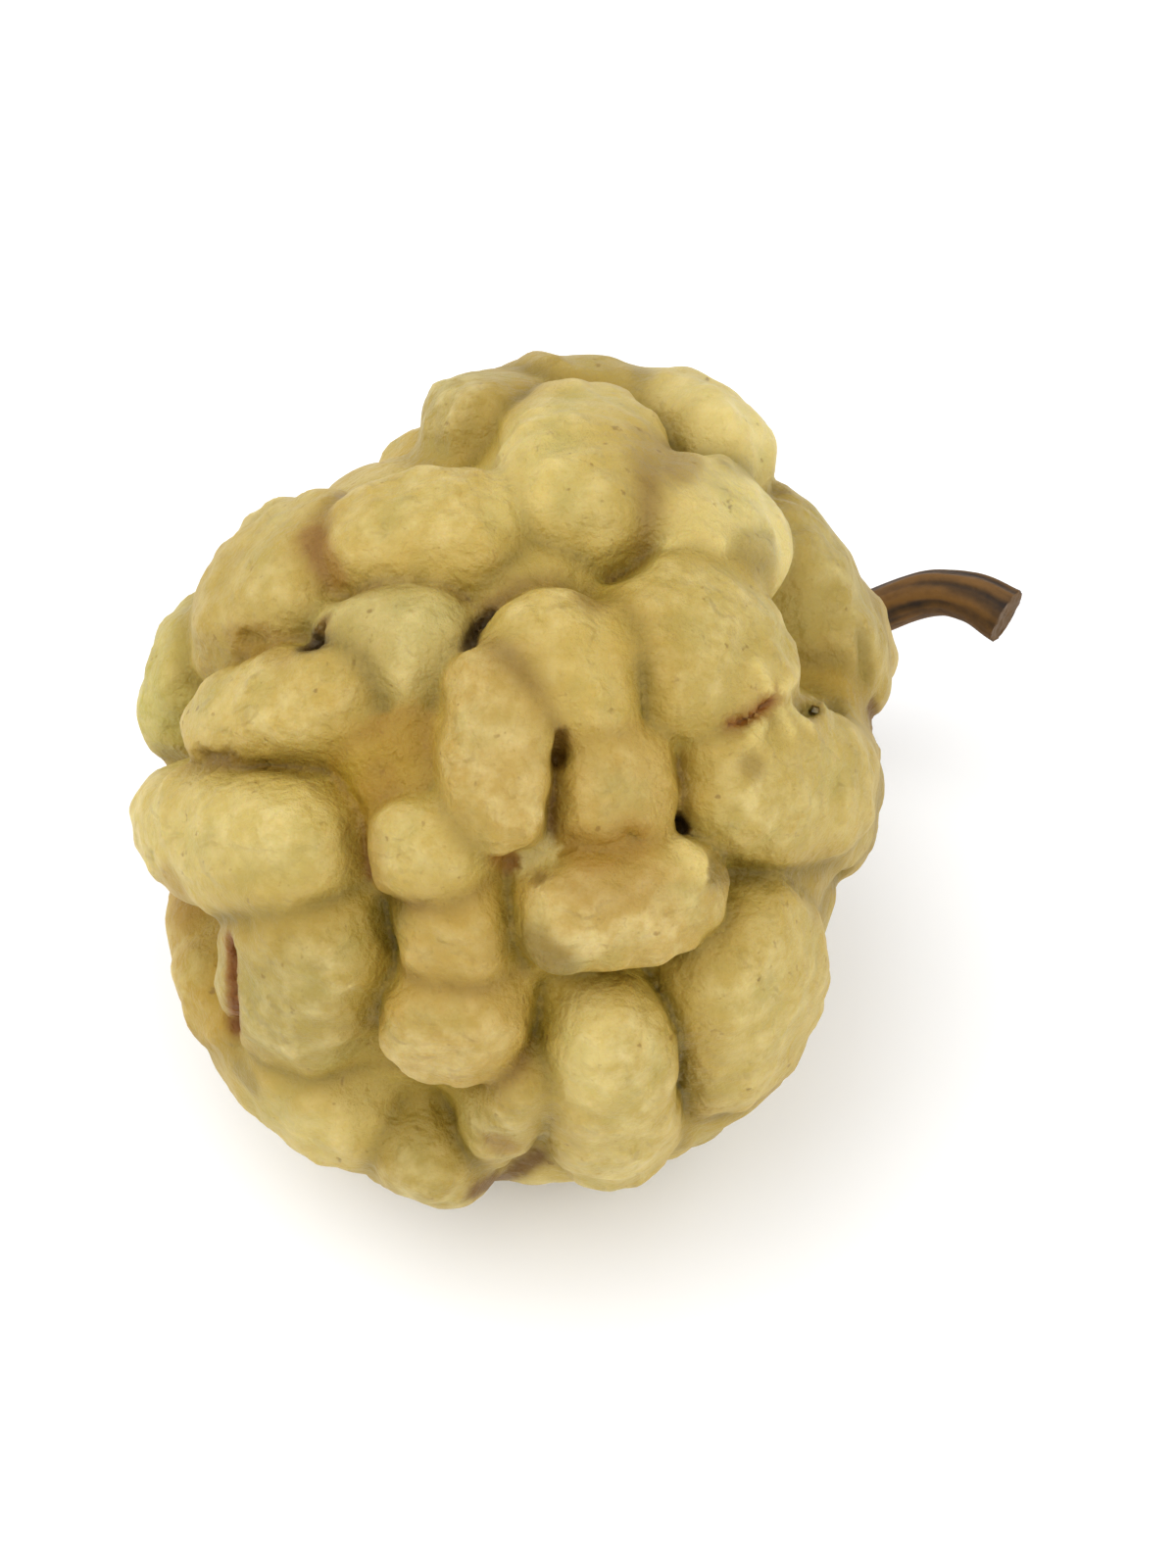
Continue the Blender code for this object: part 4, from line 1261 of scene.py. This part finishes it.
    def cut_creases(self, grid: DistanceField, grain: Grain) -> list[tuple[list[np.ndarray], Crease]]:
        """Cuts the cracks, slits and pits, and returns each one's route in the world."""
        cut = []
        for crease in CREASES:
            knots = [Vector((*p, 0.0)) for p in crease.route]
            spots = smooth_route(knots, 6) if len(knots) > 2 else knots
            route = []
            for spot in spots:
                hit, inward = self.surface_place(grid, spot.x, spot.y)
                route.append(hit + inward * (crease.deep * 0.35))
            reach = crease.wide + abs(crease.deep) + 0.3
            where, points = grid.region(np.min(route, axis=0) - reach, np.max(route, axis=0) + reach)
            cut.append((route, crease))
            if crease.deep == 0.0:
                continue
            if crease.deep < 0.0:
                sunk = [p - (p - in_world(0.0, 0.0, 0.0)) * 0.1 * (crease.wide / 2.0 + crease.deep) for p in route]
                grid.join(where, tube_distance(points, sunk, crease.wide / 2.0), 0.25)
                continue
            lowered = [p + (in_world(0.0, 0.0, 0.0) - p) * 0.1 * crease.deep for p in route]
            tube = np.minimum(
                tube_distance(points, route, crease.wide / 2.0),
                tube_distance(points, lowered, crease.wide / 2.5),
            )
            tube += 0.05 * grain.at(points / 0.4)
            grid.carve(where, tube, 0.15)
        return cut

    def build(self, stem: Stem, material: bpy.types.Material) -> bpy.types.Object:
        """Makes the berry's mesh.

        Args:
            stem: the stalk, which stands in a socket of the flesh.
            material: the flesh.

        Returns:
            The berry's object.
        """
        grid = self.field_of(stem)
        creases = self.cut_creases(grid, Grain(self.seed + 1))
        route = stem.places(4)
        where, points = grid.region(np.min(route, axis=0) - 1.2, np.max(route, axis=0) + 1.2)
        grid.carve(where, tube_distance(points, route, stem.root_radius + 0.06), 0.25)
        heights = grid.low[2] + grid.step * np.arange(grid.near.shape[2])
        grid.near = np.maximum(grid.near, -heights[None, None, :])

        points, quads = largest_shell(*net_over(grid))
        points = relaxed(grid, points, quads, 3)
        points[:, 2] = np.maximum(points[:, 2], 0.0)
        LOG.info("berry net: %d points, %d quads", len(points), len(quads))
        made = mesh_object("flesh", points, quads, material)
        self.dress(made, grid, points, creases)
        return made

    def dress(
        self,
        made: bpy.types.Object,
        grid: DistanceField,
        points: Points,
        creases: list[tuple[list[np.ndarray], Crease]],
    ) -> None:
        """Stores what the material reads: tone, painted valley shade, how far each point lies in a hollow, and the
        line and crease colours.
        """
        distances = np.column_stack([drupelet.distance(points)[0] for drupelet in self.drupelets])
        order = np.argsort(distances, axis=1)[:, :2]
        first, second = np.take_along_axis(distances, order, axis=1).T
        weights = np.exp(-(distances - first[:, None]) / 0.1)
        tones = np.array([linear(drupelet.tone.value)[:3] for drupelet in self.drupelets])
        add_colours(made.data, "tone", (weights @ tones) / weights.sum(axis=1)[:, None], np.ones(len(points)))
        add_vectors(made.data, "skin_place", self.skin_places(points, order[:, 0]))
        pair = order[:, 0], order[:, 1]
        line = 1.3 * self.of_borders("share")[pair] * np.exp(-(((second - first) / (self.groove_wide * 0.95)) ** 2))
        line *= self.openness(points, Grain(self.seed))
        add_colours(made.data, "border", self.of_borders("stain")[pair], spread(made.data, np.minimum(line, 0.95), 1))
        # Painted amber shade in the valley beside each border.
        seam = self.of_borders("shade")[pair] * np.exp(-(((second - first) / self.shade_wide) ** 2))
        add_values(made.data, "seam", spread(made.data, seam, 4))
        add_values(made.data, "inner", smooth_step(0.22, 0.8, second - first))
        # How far each point lies in a hollow; the material paints amber shade by it, dark brown at the bottoms.
        wide = grid.sample(grid.crowding(0.75), points)
        tight = grid.sample(grid.crowding(0.3), points)
        hollow = 0.65 * wide + 0.35 * tight
        LOG.info("hollow: %s", np.percentile(hollow, (1, 5, 25, 50, 75, 95, 99)).round(3))
        add_values(made.data, "hollow", hollow)
        # Crease colours: stains, and on some marks painted shade, on others painted highlight.
        share, colour = np.zeros(len(points)), np.zeros((len(points), 3))
        for route, crease in creases:
            off = np.maximum(tube_distance(points, route, crease.wide / 2.0), 0.0)
            new = crease.share * np.exp(-((off / (0.05 + 0.4 * crease.wide)) ** 2))
            colour[new > share] = linear(crease.stain.value)[:3]
            share = np.maximum(share, new)
        add_colours(made.data, "stain", colour, share)


@dataclass
class Studio:
    """A white board, a large soft light, a fill and a long lens at the photograph's viewing angle."""

    rise: float = 56.0
    distance: float = 0.42
    frame_height: float = 25.0
    aim: tuple[float, float, float] = (0.0, 0.0, 6.4)
    board: float = 1.6
    sky: float = 0.9

    def build(self) -> None:
        """Makes the board, the lights, the sky and the camera."""
        self.make_board()
        self.make_light("key", (-0.18, 0.0, 0.31), 0.5, 1.1)
        self.make_light("fill", (0.20, -0.16, 0.16), 0.3, 0.4)
        world = bpy.data.worlds.new("studio_sky")
        world.use_nodes = True
        back = world.node_tree.nodes["Background"]
        back.inputs["Color"].default_value = (1.0, 1.0, 1.0, 1.0)
        back.inputs["Strength"].default_value = self.sky
        bpy.context.scene.world = world
        bpy.context.scene.view_settings.view_transform = "Standard"
        self.make_camera()

    def make_board(self) -> None:
        """Makes the board that the berry lies on."""
        half = self.board / 2.0 / MM
        corners = np.array([(-half, -half, 0.0), (half, -half, 0.0), (half, half, 0.0), (-half, half, 0.0)])
        board = mesh_object("board", corners, np.array([[0, 1, 2, 3]]), PaleBoard().make())

    def make_light(self, name: str, place: tuple[float, float, float], size: float, power: float) -> None:
        """Makes a square soft light that looks at the berry."""
        data = bpy.data.lights.new(name, "AREA")
        data.shape = "SQUARE"
        data.size = size
        data.energy = power
        made = bpy.data.objects.new(name, data)
        made.location = place
        way = Vector(self.aim) * MM - made.location
        made.rotation_euler = way.to_track_quat("-Z", "Y").to_euler()
        bpy.context.scene.collection.objects.link(made)

    def make_camera(self) -> None:
        """Makes the camera."""
        data = bpy.data.cameras.new("camera")
        made = bpy.data.objects.new("camera", data)
        rise = math.radians(self.rise)
        back = Vector((0.0, -math.cos(rise), math.sin(rise)))
        made.location = Vector(self.aim) * MM + back * self.distance
        made.rotation_euler = (-back).to_track_quat("-Z", "Y").to_euler()
        data.lens = data.sensor_width * self.distance / (self.frame_height * MM)
        data.clip_start = 0.01
        bpy.context.scene.collection.objects.link(made)
        bpy.context.scene.camera = made


def main() -> None:
    """Builds and dresses the berry, its stalk and the studio."""
    logging.basicConfig(level=logging.INFO, format="%(name)s: %(message)s")
    Studio().build()
    stem = Stem()
    stalk = stem.build(DryStalk().make())
    LOG.info("stalk: %d faces", len(stalk.data.polygons))
    flesh = Berry().build(stem, DriedFlesh().make())
    LOG.info("flesh: %d faces", len(flesh.data.polygons))
    for piece, node, slot in ((flesh, "berry", "dried_flesh"), (stalk, "stem", "dry_stalk")):
        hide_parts(node)
        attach(piece, "root")


if __name__ == "__main__":
    main()
